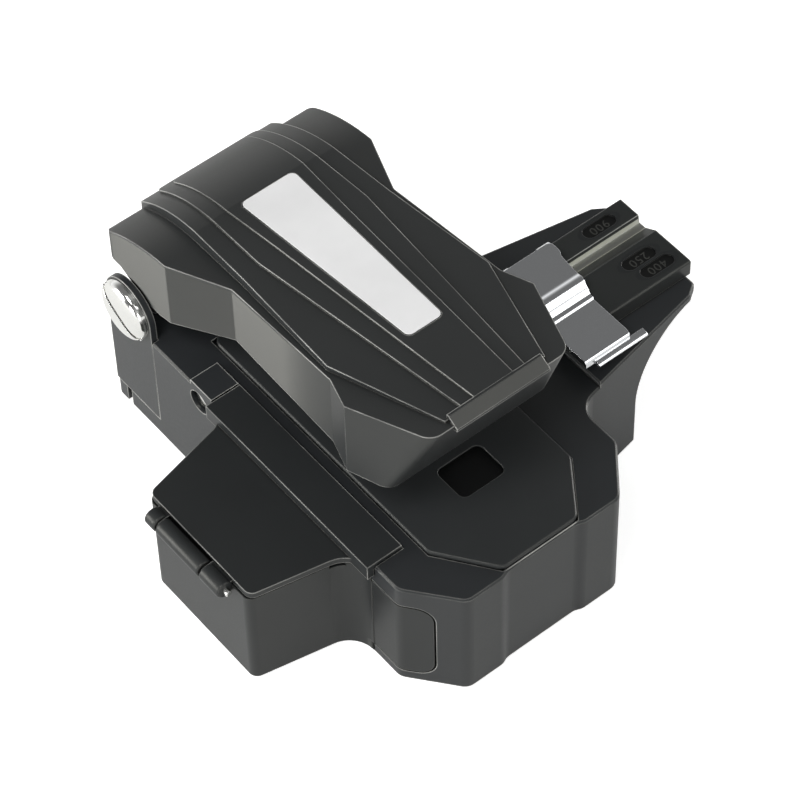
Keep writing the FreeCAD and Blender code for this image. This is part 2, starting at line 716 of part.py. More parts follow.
shaft_radius = size("shaft_radius", 2.0, "radius of the hinge shaft")
shaft_line = (hinge_y, hinge_z)
ear_inner = body_half - ear_thick
shaft = new_body("hinge_shaft")
drum(shaft, "shaft_bar", "x", shaft_line, shaft_radius, -body_half, body_half)
screw_shank = size("screw_shank", 1.2, "radius of the hinge screws' shanks")
screw_deep = size("screw_deep", 6.0, "depth of the hinge screws in the shaft")
drum(shaft, "shaft_tap_left", "x", shaft_line, screw_shank, -body_half, screw_deep - body_half, True)
drum(shaft, "shaft_tap_right", "x", shaft_line, screw_shank, body_half - screw_deep, body_half, True)
pieces.append(shaft)

head_radius = size("head_radius", 6.9, "radius of the hinge screws' heads")
head_high = size("head_high", 2.4, "height of the hinge screws' heads")
head_slot = size("head_slot", 1.9, "height of the slot in the heads, straight up")
head_slot_deep = size("head_slot_deep", 2.0, "depth of the slot in the heads")
dome_round = size("dome_round", 1.8, "slope round the heads' edge")
slot_rise = size("slot_rise", 0.62, "climb of the slot towards the rear, per length")
slot_climb = head_radius * slot_rise
for side, sign in (("left", -1), ("right", 1)):
    ear = new_body(f"hinge_ear_{side}")
    inner, outer = (ear_inner, body_half) if sign > 0 else (-body_half, -ear_inner)
    ear_plan = [
        (ear_rear, ear_low),
        (ear_rear, hinge_z),
        Bend(hinge_y, hinge_z, True),
        (ear_front, hinge_z),
        (ear_front, ear_low),
    ]
    prism(ear, f"ear_plate_{side}", "x", ear_plan, inner, outer)
    drum(ear, f"ear_bore_{side}", "x", shaft_line, shaft_radius + running, inner - 1, outer + 1, True)
    pieces.append(ear)

    screw = new_body(f"hinge_screw_{side}")
    near, far = (body_half, body_half + head_high) if sign > 0 else (-body_half - head_high, -body_half)
    drum(screw, f"head_{side}", "x", shaft_line, head_radius, near, far)
    face = (body_half + head_high) * sign
    soften(screw, f"dome_{side}", "Chamfer", dome_round, upright(face))
    slot = [
        (hinge_y - head_radius, hinge_z - slot_climb - head_slot / 2),
        (hinge_y + head_radius, hinge_z + slot_climb - head_slot / 2),
        (hinge_y + head_radius, hinge_z + slot_climb + head_slot / 2),
        (hinge_y - head_radius, hinge_z - slot_climb + head_slot / 2),
    ]
    cut_low, cut_high = (far - head_slot_deep, far + 1) if sign > 0 else (near - 1, near + head_slot_deep)
    prism(screw, f"slot_{side}", "x", slot, cut_low, cut_high, True)
    tip = (body_half - screw_deep + 0.5) if sign > 0 else (screw_deep - body_half - 0.5)
    span = (tip, body_half + 0.3) if sign > 0 else (-body_half - 0.3, tip)
    drum(screw, f"shank_{side}", "x", shaft_line, screw_shank, *span)
    pieces.append(screw)

# Room that the coiled torsion spring takes on the shaft.
spring_half = size("spring_half", 8.0, "half the length of the lid spring")
spring_radius = size("spring_radius", 3.4, "outer radius of the lid spring")
spring_play = size("spring_play", 0.3, "room between spring and shaft")
spring = new_body("lid_spring")
drum(spring, "coil", "x", shaft_line, spring_radius, -spring_half, spring_half)
drum(spring, "coil_bore", "x", shaft_line, shaft_radius + spring_play, -spring_half, spring_half, True)
pieces.append(spring)

# ---------------------------------------------------------------- lid shell
# Drawn with its rim level. The plan and the side view are crossed: a low flank all round
# and a raised spine on it, with two steps that run forward to a sloping bar.

wing_in = size("wing_in", 1.9, "lid's rear wings, inward from the housing's side")
wing_half = body_half - wing_in
wing_y = size("wing_y", 40.4, "front of the rear wings")
waist_half = size("waist_half", 20.1, "half the width of the lid's waist")
waist_rear = size("waist_rear", 26.2, "rear end of the waist")
waist_front_half = size("waist_front_half", 20.9, "half the width of the waist's front end")
waist_front = size("waist_front", 5.5, "front end of the waist")
flare_half = size("flare_half", 23.2, "half the width of the lid's nose")
flare_y = size("flare_y", 12.6, "widest place of the nose")
lid_front_half = size("lid_front_half", 16.6, "half the width of the lid's front edge")
lid_front = size("lid_front", 30.6, "front edge of the lid")
lid_rear = size("lid_rear", 61.8, "rear face of the lid")
lid_wall = size("lid_wall", 1.8, "thickness of the lid shell")
nose_round = size("nose_round", 3.2, "rounding of the two edges beside the lid's front")
wing_round = size("wing_round", 3.0, "rounding of the wings' rear corners")
waist_round = size("waist_round", 1.5, "rounding of the bends between wings and waist")

flank_plan = [
    (lid_front_half, -lid_front),
    (flare_half, -flare_y),
    (waist_front_half, -waist_front),
    (waist_half, waist_rear),
    (wing_half, wing_y),
    (wing_half, lid_rear),
]
flank_front_z = size("flank_front_z", 65.0, "flank's top at the front edge")
flank_mid_z = size("flank_mid_z", 57.1, "flank's top where it starts to curve down")
flank_rear_z = size("flank_rear_z", 48.9, "flank's top at the rear face")
flank_arc_z = size("flank_arc_z", 14.1, "height of the centre of the flank's rear curve")
flank_arc_y = size("flank_arc_y", 36.6, "centre of the flank's rear curve")
rim_z = size("rim_z", 43.2, "height of the lid's level rim")
rim_front = size("rim_front", 21.6, "front end of the rim")
wing_low = size("wing_low", 38.8, "lower edge of the wings")
wing_low_y = size("wing_low_y", 46.5, "middle of the wings' lower edge")
wing_low_half = size("wing_low_half", 2.6, "half the length of the wings' lower edge")
wing_rear_z = size("wing_rear_z", 42.2, "lower edge of the wings at the rear")


front_lean = (lid_front - rim_front) / (flank_front_z - rim_z)


def flank_profile(wall):
    """The lid's side view, moved inward by a wall thickness."""
    return [
        (wall - rim_front + front_lean * wall * 3, rim_z - wall * 3),
        (waist_rear, rim_z - wall * 3),
        (wing_low_y - wing_low_half, wing_low - wall * 3),
        (lid_rear - wall, wing_rear_z - wall * 3),
        (lid_rear - wall, flank_rear_z - wall),
        Bend(flank_arc_y, flank_arc_z, True),
        (wing_y, flank_mid_z - wall),
        (wall - lid_front + front_lean * wall, flank_front_z - wall),
    ]


outer_profile = [
    (-rim_front, rim_z),
    (waist_rear, rim_z),
    (wing_low_y - wing_low_half, wing_low),
    (wing_low_y + wing_low_half, wing_low),
    (hinge_y + 4, wing_rear_z),
    (lid_rear, wing_rear_z),
    (lid_rear, flank_rear_z),
    Bend(flank_arc_y, flank_arc_z, True),
    (wing_y, flank_mid_z),
    (-lid_front, flank_front_z),
]
shell_high = flank_front_z + 5

flank_up = new_body("flank_plan")
prism(flank_up, "flank_plan_pad", "z", both_sides(flank_plan), wing_low - 1, shell_high)
wing_corners = [(wing_half, lid_rear), (-wing_half, lid_rear)]
soften(flank_up, "wing_corners", "Fillet", wing_round, along("z", wing_corners))
waist_corners = [(wing_half, wing_y), (-wing_half, wing_y), (waist_half, waist_rear), (-waist_half, waist_rear)]
soften(flank_up, "waist_corners", "Fillet", waist_round, along("z", waist_corners))
flank_side = new_body("flank_side")
prism(flank_side, "flank_side_pad", "x", outer_profile, -wing_half - 1, wing_half + 1)
soften(flank_side, "flank_rear_round", "Fillet", term(4), along("x", [(lid_rear, flank_rear_z)]))
nose_lean = (flare_half - lid_front_half) / (lid_front - flare_y)
ahead = term(2)
nose_cut = [
    (lid_front_half - ahead * nose_lean, -lid_front - ahead),
    (wing_half + 2, -lid_front - ahead),
    (wing_half + 2, -flare_y),
    (flare_half, -flare_y),
]
prism(flank_side, "nose_cut_right", "z", nose_cut, wing_low - 1, shell_high, True)
prism(flank_side, "nose_cut_left", "z", [(-x, y) for x, y in reversed(nose_cut)], wing_low - 1, shell_high, True)


def nose_edges(edge):
    """The two slanting edges between the nose's front and its sides."""
    middle = edge.CenterOfMass
    in_front = -lid_front.number < middle.y < -rim_front.number
    return in_front and edge.BoundBox.ZLength > 15


soften(flank_side, "nose_rounds", "Fillet", nose_round, nose_edges)
flank = together("MultiCommon", "flank", [flank_up, flank_side])

ridge_front_half = size("ridge_front_half", 11.3, "half the width of the spine's front bar")
ridge_bar_half = size("ridge_bar_half", 12.1, "half the width of the spine behind its front bar")
ridge_kink_half = size("ridge_kink_half", 19.8, "half the width of the spine at its kink")
ridge_kink_y = size("ridge_kink_y", 3.2, "kink of the spine's sides")
ridge_mid_half = size("ridge_mid_half", 17.9, "half the width of the spine at the waist's rear end")
ridge_rear_half = size("ridge_rear_half", 16.4, "half the width of the spine at its rear end")
spine_front = size("spine_front", 31.3, "front end of the spine's sloping bar")
spine_bar = size("spine_bar", 28.8, "top edge of the spine's sloping bar")
spine_rear = size("spine_rear", 62.8, "rear end of the spine")
spine_front_z = size("spine_front_z", 66.2, "top of the spine over the bar")
spine_bar_z = size("spine_bar_z", 64.6, "lower edge of the sloping bar")
bar_lip = size("bar_lip", 0.7, "height of the bar's front face")
bar_wide = size("bar_wide", 0.6, "width of the flat on top of the bar")
bar_deep = size("bar_deep", 2.5, "depth of the bar and of the layers' front ends")
spine_slant = size("spine_slant", 3.5, "length over which the layers' underside slants down")
spine_round = size("spine_round", 2.0, "rounding of the layers' rear corners")
spine_mid_y = size("spine_mid_y", 41.6, "where the spine starts to curve down")
spine_mid_z = size("spine_mid_z", 60.7, "top of the spine where it starts to curve down")
spine_rear_z = size("spine_rear_z", 50.5, "top of the spine at its rear end")
spine_arc_y = size("spine_arc_y", 36.0, "centre of the spine's rear curve")
spine_arc_z = size("spine_arc_z", 22.0, "height of the centre of the spine's rear curve")
ridge_plan = [
    (ridge_bar_half, -spine_bar),
    (ridge_kink_half, -ridge_kink_y),
    (ridge_mid_half, waist_rear - 1),
    (ridge_rear_half, spine_rear),
]


def spine_layer(label, half_plan, drop, low_by):
    """One layer of the spine: a plan crossed with the spine's side view, dropped by an amount."""
    plan_body = new_body(f"{label}_plan")
    prism(plan_body, f"{label}_plan_pad", "z", both_sides(half_plan), wing_low, shell_high)
    rear_x, rear_y = half_plan[-1]
    soften(plan_body, f"{label}_rear_corners", "Fillet", spine_round, along("z", [(rear_x, rear_y), (-rear_x, rear_y)]))
    side_body = new_body(f"{label}_side")
    side_view = [
        (-spine_bar, spine_front_z - drop - bar_deep),
        (spine_slant - spine_bar, spine_front_z - drop - low_by),
        (spine_mid_y, spine_mid_z - drop - low_by),
        (spine_rear, wing_rear_z + 2),
        (spine_rear, spine_rear_z - drop),
        Bend(spine_arc_y, spine_arc_z - drop, True),
        (spine_mid_y, spine_mid_z - drop),
        (-spine_bar, spine_front_z - drop),
    ]
    prism(side_body, f"{label}_side_pad", "x", side_view, -wing_half, wing_half)
    soften(side_body, f"{label}_rear_round", "Fillet", term(4.5), along("x", [(spine_rear, spine_rear_z - drop)]))
    return together("MultiCommon", label, [plan_body, side_body])


step_front_half = size("step_front_half", 7.7, "half the width of the outer step at the bar")
step_mid_half = size("step_mid_half", 13.4, "half the width of the outer step at the waist's rear end")
step_rear_half = size("step_rear_half", 12.6, "half the width of the outer step at its rear end")
panel_front_half = size("panel_front_half", 4.7, "half the width of the inner panel at the bar")
panel_mid_half = size("panel_mid_half", 8.4, "half the width of the inner panel over the waist")
panel_rear_half = size("panel_rear_half", 9.6, "half the width of the inner panel at its rear end")
step_drop = size("step_drop", 0.35, "inner panel over the outer step")
ridge_drop = size("ridge_drop", 0.9, "inner panel over the spine's edge")
spine_deep = size("spine_deep", 7.0, "depth of the spine's layers")
spine = spine_layer("spine", ridge_plan, ridge_drop, spine_deep - ridge_drop)
step_plan = [(step_front_half, -spine_bar), (step_mid_half, waist_rear), (step_rear_half, spine_rear - 1)]
step = spine_layer("spine_step", step_plan, step_drop, spine_deep - step_drop)
panel_plan = [
    (panel_front_half, -spine_bar),
    (panel_mid_half, waist_rear),
    (panel_rear_half, spine_mid_y),
    (panel_rear_half, spine_rear - 2),
]
panel = spine_layer("spine_panel", panel_plan, term(0), spine_deep)

bar = new_body("spine_bar_block")
bar_view = [
    (bar_wide - spine_bar, spine_front_z - bar_deep),
    (bar_wide - spine_bar, spine_front_z),
    (-spine_bar, spine_front_z),
    (-spine_front, spine_bar_z),
    (-spine_front, spine_bar_z - bar_lip),
    (1 - lid_front, spine_bar_z - bar_lip - 0.4),
]
prism(bar, "spine_bar_pad", "x", bar_view, -ridge_front_half, ridge_front_half)

inner_up = new_body("shell_inner_plan")
wall = lid_wall
inner_plan = [
    (lid_front_half - wall, wall - lid_front),
    (flare_half - wall, wall / 2 - flare_y),
    (waist_front_half - wall, -waist_front),
    (waist_half - wall, waist_rear),
    (wing_half - wall, wing_y + wall / 2),
    (wing_half - wall, lid_rear - wall),
]
prism(inner_up, "shell_inner_plan_pad", "z", both_sides(inner_plan), wing_low - 8, shell_high)
inner_side = new_body("shell_inner_side")
prism(inner_side, "shell_inner_side_pad", "x", flank_profile(lid_wall), -wing_half, wing_half)
hollow = together("MultiCommon", "shell_hollow", [inner_up, inner_side])

# Bosses under the shell's top take the frame's screws.
frame_z = size("frame_z", 50.0, "underside of the lid frame, with the lid's rim level")
frame_thick = size("frame_thick", 2.4, "thickness of the lid frame")
frame_boss_z = frame_z + frame_thick
frame_boss_x = size("frame_boss_x", 12.0, "frame screws, from the middle plane")
frame_boss_rear = size("frame_boss_rear", 34.0, "rear frame screws")
frame_boss_front = size("frame_boss_front", 16.0, "front frame screws, towards the user")
frame_boss_radius = size("frame_boss_radius", 3.0, "radius of the shell's bosses")
frame_screw = size("frame_screw", 1.2, "radius of the frame screws")
frame_places = [(frame_boss_x * s, y) for s in (-1, 1) for y in (-frame_boss_front, frame_boss_rear)]
shell_solid = less("shell_solid", together("MultiFuse", "shell_mass", [flank, spine, step, panel, bar]), hollow)
shell_bosses = []
shell_holes = []
boss_tops = [flank_front_z - 2.6, flank_mid_z] * 2
for number, (place, boss_top) in enumerate(zip(frame_places, boss_tops), 1):
    boss = new_body(f"shell_boss_{number}")
    drum(boss, f"shell_boss_{number}_pad", "z", place, frame_boss_radius, frame_boss_z, boss_top)
    shell_bosses.append(boss)
    hole = new_body(f"shell_hole_{number}")
    drum(hole, f"shell_hole_{number}_pad", "z", place, frame_screw, frame_boss_z - 1, frame_boss_z + 3.5)
    shell_holes.append(hole)
shaft_way = new_body("shell_shaft_way")
drum(shaft_way, "shell_shaft_way_pad", "x", shaft_line, shaft_radius + 0.6, -wing_half - 1, wing_half + 1)

# The label sits in a shallow seat in the inner panel.
label_rear_half = size("label_rear_half", 6.6, "half the width of the label's rear edge")
label_front_half = size("label_front_half", 4.2, "half the width of the label's front edge")
label_rear = size("label_rear", 41.0, "rear edge of the label")
label_front = size("label_front", 8.4, "front edge of the label")
label_deep = size("label_deep", 0.3, "depth of the label's seat")
label_thick = size("label_thick", 0.45, "thickness of the label")
spine_slope = (spine_front_z - spine_mid_z) / (spine_bar + spine_mid_y)


def label_body(name, play, low, high):
    """A slip of even thickness on the inner panel's slope."""
    plan_body = new_body(f"{name}_plan")
    half = [(label_front_half + play, -label_front - play), (label_rear_half + play, label_rear + play)]
    prism(plan_body, f"{name}_plan_pad", "z", both_sides(half), wing_low, shell_high)
    soften(plan_body, f"{name}_corners", "Fillet", term(1.3), along("z", both_sides(half)))
    side_body = new_body(f"{name}_side")
    rear_top = spine_mid_z - spine_slope * 5
    slip = [
        (-spine_bar, spine_front_z + low),
        (spine_mid_y + 5, rear_top + low),
        (spine_mid_y + 5, rear_top + high),
        (-spine_bar, spine_front_z + high),
    ]
    prism(side_body, f"{name}_side_pad", "x", slip, -wing_half, wing_half)
    return together("MultiCommon", name, [plan_body, side_body])


label_seat = label_body("label_seat", gap, -label_deep, term(4))
shell_cuts = together("MultiFuse", "shell_cuts", shell_holes + [shaft_way, label_seat])
shell_full = together("MultiFuse", "shell_full", [shell_solid] + shell_bosses)
shell_turn = lid_open - shell_level
finish(hinge_turn(less("lid_shell", shell_full, shell_cuts), shell_turn), "lid_shell")
label = label_body("lid_label", term(0), -label_deep, label_thick - label_deep)
finish(hinge_turn(label, shell_turn), "lid_label")

# ---------------------------------------------------------------- lid frame
# A plate under the shell, with two arms back to the hinge shaft.

frame_half = size("frame_half", 15.5, "half the width of the lid frame")
frame_front = size("frame_front", 20.0, "front end of the lid frame")
frame_rear = size("frame_rear", 47.0, "rear end of the frame's plate")
frame_arm_in = size("frame_arm_in", 11.0, "inner side of the frame's arms")
barrel_radius = size("barrel_radius", 3.9, "radius of the barrels on the hinge shaft")
barrel_in = size("barrel_in", 3.2, "barrels, inward from the hinge ears")
barrel_out = ear_inner - barrel_in
frame_plate = new_body("frame_plate")
plate_box = box(-frame_half, frame_half, -frame_front, frame_rear)
prism(frame_plate, "frame_plate_pad", "z", plate_box, frame_z, frame_boss_z)
soften(frame_plate, "frame_corners", "Fillet", term(3), along("z", plate_box))
for side, sign in (("left", -1), ("right", 1)):
    low, high = (frame_arm_in, frame_half) if sign > 0 else (-frame_half, -frame_arm_in)
    arm_view = [
        (hinge_y - barrel_radius, hinge_z),
        (hinge_y + barrel_radius, hinge_z),
        (hinge_y + barrel_radius, hinge_z + 6),
        (frame_rear, frame_boss_z),
        (frame_rear - 8, frame_boss_z),
        (frame_rear - 8, frame_z),
    ]
    prism(frame_plate, f"frame_arm_{side}", "x", arm_view, low, high)
    low, high = (frame_arm_in, barrel_out) if sign > 0 else (-barrel_out, -frame_arm_in)
    drum(frame_plate, f"barrel_{side}", "x", shaft_line, barrel_radius, low, high)
    drum(frame_plate, f"barrel_bore_{side}", "x", shaft_line, shaft_radius + running, low - 1, high + 1, True)
for number, place in enumerate(frame_places, 1):
    drum(frame_plate, f"frame_hole_{number}", "z", place, frame_screw + gap, frame_z, frame_boss_z, True)

strike_half = size("strike_half", 4.0, "half the width of the steel strike under the lid's nose")
strike_low = size("strike_low", 43.2, "underside of the strike, with the lid's rim level")
strike_front = size("strike_front", 19.6, "front side of the strike, towards the user")
strike_long = size("strike_long", 5.0, "length of the strike")
strike_box = box(-strike_half, strike_half, -strike_front, strike_long - strike_front)
strike = new_body("strike_plate")
prism(strike, "strike_post", "z", strike_box, strike_low, frame_z)
soften(strike, "strike_edge", "Chamfer", term(0.6), level(strike_low))
hinge_turn(strike, shell_turn)
pieces.append(strike)

# Stems of the clamps and the anvil slide in holes square to the deck when the lid is shut.
stem_radius = size("stem_radius", 1.3, "radius of the clamp and anvil stems")
stem_apart = size("stem_apart", 3.0, "clamp stems, from the fibre line")
stem_play = size("stem_play", 0.15, "radial room round the stems in the frame")
clamp_x = (clamp_in + clamp_out) / 2
stem_places = [(clamp_x * s, fibre_y + stem_apart * t) for s in (-1, 1) for t in (-1, 1)]
anvil_stem = (term(0), fibre_y)
ways = []
for number, place in enumerate(stem_places + [anvil_stem], 1):
    way = new_body(f"stem_way_{number}")
    drum(way, f"stem_way_{number}_pad", "z", place, stem_radius + stem_play, fibre_z, hinge_z + 20)
    ways.append(hinge_turn(way, shell_level))
frame = less("lid_frame", frame_plate, together("MultiFuse", "stem_ways", ways))
finish(hinge_turn(frame, shell_turn), "lid_frame")

lid_head = size("lid_head", 2.2, "radius of the frame screws' heads")
lid_head_high = size("lid_head_high", 1.6, "height of the frame screws' heads")
lid_screws = []
for number, place in enumerate(frame_places, 1):
    lid_screws.append(socket_screw(
        f"lid_screw_{number}", place, frame_screw, lid_head, frame_boss_z + 3, frame_z, frame_z - lid_head_high, False,
    ))
finish(hinge_turn(together("Compound", "lid_screws", lid_screws), shell_turn), "lid_screws")

# Upper clamps and anvil, drawn with the lid shut, then turned open with it.
pad_gap = size("pad_gap", 0.3, "room between upper and lower pads with the lid shut")
pad_thick = size("pad_thick", 1.2, "thickness of the upper rubber pads")
clamp_high = size("clamp_high", 3.5, "height of the clamp blocks")
stem_top = size("stem_top", 12.6, "top of the stems, over the fibre line")
clamp_low = fibre_z + pad_gap
for side, sign in (("left", -1), ("right", 1)):
    near = clamp_in * sign
    far = clamp_out * sign
    edges = (far, near) if sign < 0 else (near, far)
    plan = box(*edges, fibre_y - clamp_long, fibre_y + clamp_long)
    pad = slab(f"upper_pad_{side}", "z", plan, clamp_low, clamp_low + pad_thick)
    hinge_turn(pad, lid_open)
    block = new_body(f"clamp_{side}")
    prism(block, f"clamp_block_{side}", "z", plan, clamp_low + pad_thick, clamp_low + pad_thick + clamp_high)
    soften(block, f"clamp_corners_{side}", "Fillet", term(1), along("z", plan))
    for number, way in enumerate((-1, 1), 1):
        place = (clamp_x * sign, fibre_y + stem_apart * way)
        drum(block, f"stem_{side}_{number}", "z", place, stem_radius, clamp_low + pad_thick + 1, fibre_z + stem_top)
    hinge_turn(block, lid_open)
    pieces.append(block)
anvil_half = size("anvil_half", 1.5, "half the width of the anvil")
anvil_long = size("anvil_long", 7.0, "half the length of the anvil")
anvil_gap = size("anvil_gap", 0.5, "anvil over the fibre line with the lid shut")
anvil_high = size("anvil_high", 4.4, "height of the anvil")
anvil = new_body("anvil")
anvil_low = fibre_z + anvil_gap
anvil_box = box(-anvil_half, anvil_half, fibre_y - anvil_long, fibre_y + anvil_long)
prism(anvil, "anvil_block", "z", anvil_box, anvil_low, anvil_low + anvil_high)
drum(anvil, "anvil_stem", "z", anvil_stem, stem_radius, anvil_low + 1, fibre_z + stem_top)
hinge_turn(anvil, lid_open)
pieces.append(anvil)

# ---------------------------------------------------------------- fibre holder on the arm

holder_start = size("holder_start", 3.9, "inner end of the fibre holder, out from the housing")
holder_in = body_half + holder_start
holder_over = size("holder_over", 0.9, "fibre holder's end face beyond the arm")
holder_end = arm_end_x + holder_over
holder_half = size("holder_half", 10.9, "half the width of the fibre holder")
holder_top = size("holder_top", 35.0, "top of the fibre holder")
groove_rear = size("groove_rear", 5.1, "rear side of the cable groove")
groove_front = size("groove_front", 0.3, "front side of the cable groove, towards the user")
groove_floor = size("groove_floor", 1.8, "width of the cable groove's floor")
groove_deep = size("groove_deep", 2.0, "depth of the cable groove")
holder = new_body("fibre_holder")
holder_profile = [
    (-holder_half, arm_top),
    (holder_half, arm_top),
    (holder_half, holder_top),
    (groove_rear, holder_top),
    (groove_rear - 0.4, holder_top - groove_deep),
    (groove_rear - 0.4 - groove_floor, holder_top - groove_deep),
    (-groove_front, holder_top),
    (-holder_half, holder_top),
]
prism(holder, "holder_bar", "x", holder_profile, holder_in + 3, holder_end)
soften(holder, "holder_edges", "Fillet", term(0.5), along("x", [(-holder_half, holder_top), (holder_half, holder_top)]))
recess_deep = size("recess_deep", 0.45, "depth of the number recesses")
recess_half = size("recess_half", 1.6, "half the width of the number recesses")
recess_long = size("recess_long", 8.2, "length of the number recesses")
recess_back = size("recess_back", 6.6, "middle of the number recesses, in from the holder's end")
recess_x = holder_end - recess_back
recess_spots = [(recess_x - 1.5, 8.0), (recess_x - 1, -3.6), (recess_x + 0.6, -7.4)]
for number, (spot_x, spot_y) in enumerate(recess_spots, 1):
    reach = recess_long / 2 - recess_half
    spot_y = term(spot_y)
    capsule = [
        (spot_x - reach, spot_y - recess_half),
        (spot_x + reach, spot_y - recess_half),
        Bend(spot_x + reach, spot_y, True),
        (spot_x + reach, spot_y + recess_half),
        (spot_x - reach, spot_y + recess_half),
        Bend(spot_x - reach, spot_y, True),
    ]
    prism(holder, f"number_recess_{number}", "z", capsule, holder_top - recess_deep, holder_top, True)

# Spring-steel clip over the holder, hinged on a pin along its rear edge.
clip_start = size("clip_start", 5.1, "left side of the clip, out from the housing")
clip_left = body_half + clip_start
clip_wide = size("clip_wide", 14.0, "width of the clip at its hinge")
clip_right = clip_left + clip_wide
clip_thick = size("clip_thick", 0.5, "thickness of the clip's sheet")
clip_pin_y = size("clip_pin_y", 9.6, "clip hinge, from the arm's middle plane")
clip_pin_z = size("clip_pin_z", 35.9, "height of the clip hinge")
clip_pin_radius = size("clip_pin_radius", 0.6, "radius of the clip's pin")
clip_high = size("clip_high", 2.4, "clip's rear wing over the holder")
clip_step = size("clip_step", -1.6, "clip's rear end of the crimp, towards the hinge")
clip_foot = size("clip_foot", 5.9, "clip's front end of the crimp, towards the user")
clip_front = size("clip_front", 17.2, "front edge of the clip")
clip_lip = size("clip_lip", 1.5, "depth of the clip's folded lip")
clip_hem = size("clip_hem", 0.45, "radius of the rolled hem on the clip's lip")
hem_start = size("hem_start", 2.4, "left end of the hem, from the clip's left side")
hem_left = clip_left + hem_start
hem_over = size("hem_over", 1.1, "right end of the hem beyond the clip")
hem_right = clip_right + hem_over
bead_high = size("bead_high", 0.4, "height of the bead at the crimp")
ear_tab = size("ear_tab", 6.2, "front end of the clip's wide rear part")
waist_in = size("waist_in", 1.3, "clip's right side at the crimp, in from its hinge end")
clip_waist = clip_right - waist_in
nose_in = size("nose_in", 2.1, "right side of the clip's front wing, in from its hinge end")
clip_nose = clip_right - nose_in
knuckle = clip_pin_radius + running + clip_thick
wing_z = holder_top + clip_high
foot_z = holder_top + 0.05
clip = new_body("fibre_clip")
clip_profile = [
    (clip_pin_y, wing_z - clip_thick),
    (clip_pin_y, wing_z),
    (clip_step + 0.9, wing_z),
    (clip_step, wing_z + bead_high),
    (clip_step - 1.5, wing_z + bead_high),
    (clip_step - 2.6, wing_z - 0.5),
    (-clip_foot + 0.5, foot_z + clip_thick + 0.3),
    (-clip_foot, foot_z + clip_thick),
    (-clip_front, foot_z + clip_thick),
    (-clip_front - 0.5, foot_z + clip_thick - clip_lip),
    (-clip_front - 0.5, foot_z - clip_lip),
    (-clip_front, foot_z - clip_lip),
    (clip_thick - clip_front, foot_z),
    (-clip_foot - 0.3, foot_z),
    (0.2 - clip_foot, foot_z + 0.1),
    (clip_step - 3.0, wing_z - clip_thick - 0.5),
    (clip_step - 1.8, wing_z + bead_high - clip_thick),
    (clip_step + 0.2, wing_z + bead_high - clip_thick),
    (clip_step + 1.1, wing_z - clip_thick),
]
prism(clip, "clip_sheet", "x", clip_profile, clip_left, clip_right)
side_cut = [
    (clip_right - 0.4, ear_tab),
    (clip_waist, clip_step),
    (clip_nose, -clip_foot),
    (clip_nose, -clip_front - 2),
    (hem_right + 1, -clip_front - 2),
    (hem_right + 1, ear_tab),
]
prism(clip, "side_cut", "z", side_cut, holder_top - 4, wing_z + 2, True)
hem_drop = size("hem_drop", 0.6, "hem in front of the lip")
hem_y = -clip_front - 0.5 - hem_drop - clip_hem
hem_z = foot_z - clip_lip + clip_hem
hem_web = box(hem_y, clip_thick / 2 - clip_front - 0.5, hem_z - clip_hem, hem_z + clip_hem)
prism(clip, "clip_hem_web", "x", hem_web, hem_left, hem_right)
drum(clip, "clip_hem", "x", (hem_y, hem_z), clip_hem - 0.01, hem_left, hem_right)
knuckle_long = size("knuckle_long", 3.2, "length of each of the clip's two knuckles")
lug_radius = size("lug_radius", 0.85, "radius of the holder's hinge lug")
end_gap = size("end_gap", 0.15, "end play between a knuckle and the lug")
clip_pin_line = (clip_pin_y, clip_pin_z)
knuckle_spans = [(clip_left, clip_left + knuckle_long), (clip_right - knuckle_long, clip_right)]
for number, (low, high) in enumerate(knuckle_spans, 1):
    drum(clip, f"clip_knuckle_{number}", "x", clip_pin_line, knuckle, low, high)
    pocket = box(low - end_gap * 2, high + end_gap * 2, clip_pin_y - knuckle - end_gap, holder_half + 1)
    prism(holder, f"knuckle_pocket_{number}", "z", pocket, clip_pin_z - knuckle - end_gap, holder_top, True)
lug_low = clip_left + knuckle_long + end_gap
lug_high = clip_right - knuckle_long - end_gap
lug = box(clip_pin_y - lug_radius, clip_pin_y + lug_radius, holder_top - 0.5, clip_pin_z)
prism(holder, "lug", "x", lug, lug_low, lug_high)
drum(holder, "lug_top", "x", clip_pin_line, lug_radius, lug_low, lug_high)
drum(clip, "clip_bore", "x", clip_pin_line, clip_pin_radius + running, clip_left - 1, clip_right + 1, True)
drum(holder, "lug_bore", "x", clip_pin_line, clip_pin_radius, clip_left - 2, clip_right + 1, True)
pieces.append(holder)
pieces.append(clip)
rod("clip_pin", "x", clip_pin_line, clip_pin_radius, clip_left, clip_right)

clip_pad_half = size("clip_pad_half", 0.7, "half the width of the clip's rubber pad")
clip_pad_y = groove_rear - 0.4 - groove_floor / 2
clip_pad_box = box(clip_pad_y - clip_pad_half, clip_pad_y + clip_pad_half, fibre_z + pad_gap, wing_z - clip_thick)
slab("clip_pad", "x", clip_pad_box, clip_left + 1, clip_right - 1)
holder_magnet = size("holder_magnet", 2.5, "radius of the magnet that holds the clip down")
magnet_spot = ((clip_left + clip_right) / 2, -holder_half / 2 - 1)
drum(holder, "magnet_hole", "z", magnet_spot, holder_magnet, holder_top - 2, holder_top, True)
rod("clip_magnet", "z", magnet_spot, holder_magnet, holder_top - 2, holder_top)

# ---------------------------------------------------------------- scrap bin at the left

